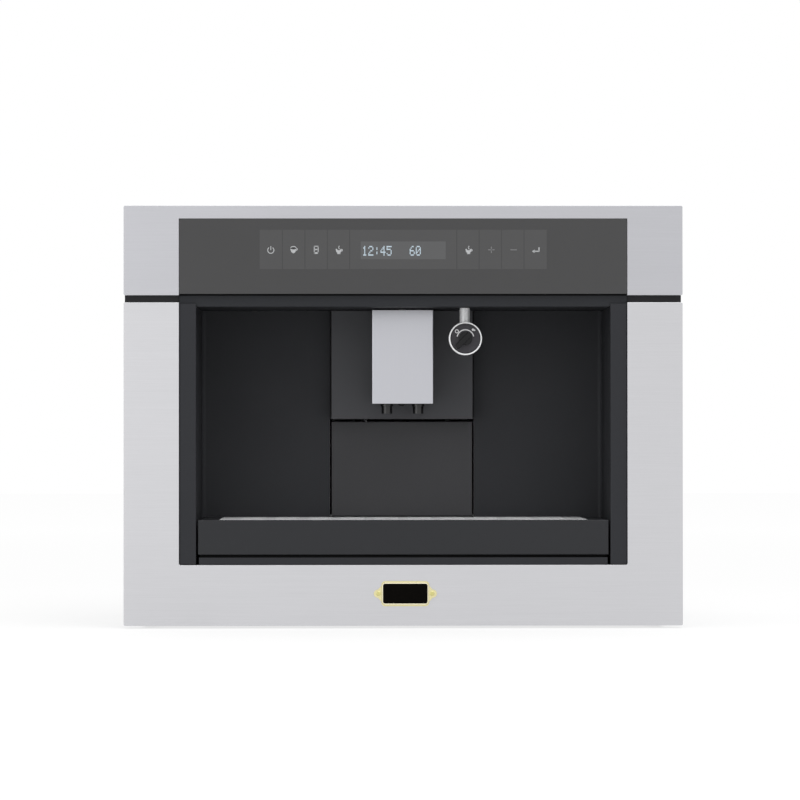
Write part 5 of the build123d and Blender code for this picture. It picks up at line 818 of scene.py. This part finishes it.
def seen_directly(tree, share):
    """share for what the camera sees, also mirrored or through glass, and 0 for other light."""
    path = tree.nodes.new("ShaderNodeLightPath")
    seen = maths(tree, "MAXIMUM", path.outputs["Is Camera Ray"], path.outputs["Is Glossy Ray"])
    seen = maths(tree, "MAXIMUM", seen, path.outputs["Is Transmission Ray"])
    return maths(tree, "MULTIPLY", seen, share)


def mix_into(tree, output, share, first, second):
    """A mix of two shaders as the tree's output, share being the second's."""
    mixed = tree.nodes.new("ShaderNodeMixShader")
    tree.links.new(share, mixed.inputs["Fac"])
    tree.links.new(first.outputs[0], mixed.inputs[1])
    tree.links.new(second.outputs[0], mixed.inputs[2])
    tree.links.new(mixed.outputs[0], tree.nodes.new(output).inputs["Surface"])


bm = bmesh.new()
bm.faces.new([bm.verts.new((x * FLOOR_REACH, y * FLOOR_REACH, 0.0))
              for x, y in ((-1, -1), (1, -1), (1, 1), (-1, 1))])
floor_mesh = bpy.data.meshes.new("floor")
bm.to_mesh(floor_mesh)
bm.free()
floor = bpy.data.objects.new("floor", floor_mesh)
bpy.context.scene.collection.objects.link(floor)
floor_material = bpy.data.materials.new("floor_pale")
floor_material.use_nodes = True
tree = floor_material.node_tree
tree.nodes.clear()
plain = tree.nodes.new("ShaderNodeBsdfDiffuse")
plain.inputs["Color"].default_value = FLOOR_PALE
# The lamps reach less of the far floor, so it is given more white of its own.
own_white = tree.nodes.new("ShaderNodeEmission")
floor_coords = tree.nodes.new("ShaderNodeTexCoord")
distance = tree.nodes.new("ShaderNodeVectorMath")
distance.operation = "LENGTH"
tree.links.new(floor_coords.outputs["Object"], distance.inputs[0])
tree.links.new(spread(tree, distance.outputs["Value"], NEAR_WHITE, FAR_WHITE, NEAR_AND_FAR),
               own_white.inputs["Strength"])
mix_into(tree, "ShaderNodeOutputMaterial", seen_directly(tree, 1 - SHADOW_SHARE), plain, own_white)
floor_mesh.materials.append(floor_material)

world = bpy.data.worlds.new("studio")
bpy.context.scene.world = world
world.use_nodes = True
tree = world.node_tree
tree.nodes.clear()
rooms = []
for strength in (ROOM_LIGHT, 1.0):
    room = tree.nodes.new("ShaderNodeBackground")
    room.inputs["Color"].default_value = WHITE
    room.inputs["Strength"].default_value = strength
    rooms.append(room)
mix_into(tree, "ShaderNodeOutputWorld", seen_directly(tree, 1.0), *rooms)

# Square lamps: place and width in metres, power in watts.
LAMPS = {
    "near_light": ((-1.3, -1.75, 0.3), 1.2, 5.0),
    "key_light": ((0.8, -2.6, 2.3), 1.8, 9.0),
    "steep_light": ((0.5, -1.6, 3.1), 2.4, 30.0),
    "top_light": ((0.0, 0.6, 3.0), 2.4, 8.0),
}
AIM = Vector((0.0, -0.1, 0.22))
for name, (where, size, power) in LAMPS.items():
    data = bpy.data.lights.new(name, "AREA")
    data.shape = "SQUARE"
    data.size = size
    data.energy = power
    lamp = bpy.data.objects.new(name, data)
    lamp.location = where
    lamp.rotation_euler = (AIM - Vector(where)).to_track_quat("-Z", "Y").to_euler()
    bpy.context.scene.collection.objects.link(lamp)

# ---------------------------------------------------------------- camera
CAMERA_PLACE = Vector((-0.0444, -4.307, 0.2079))
YAW, PITCH, ROLL = math.radians(0.570), math.radians(0.490), math.radians(-0.032)
IMAGE_WIDTH, FOCAL_PIXELS, SENSOR = 800.0, 3862.0, 36.0
forward = Vector((math.sin(YAW) * math.cos(PITCH), math.cos(YAW) * math.cos(PITCH),
                  math.sin(PITCH)))
level = forward.cross(Vector((0, 0, 1))).normalized()
upward = level.cross(forward)
right = level * math.cos(ROLL) + upward * math.sin(ROLL)
up = right.cross(forward)
camera_data = bpy.data.cameras.new("camera")
camera_data.sensor_width = SENSOR
camera_data.lens = FOCAL_PIXELS / IMAGE_WIDTH * SENSOR
camera = bpy.data.objects.new("camera", camera_data)
bpy.context.scene.collection.objects.link(camera)
camera.matrix_world = Matrix.Translation(CAMERA_PLACE) @ Matrix(
    (right, up, -forward)).transposed().to_4x4()
bpy.context.scene.camera = camera
bpy.context.scene.view_settings.view_transform = "Standard"
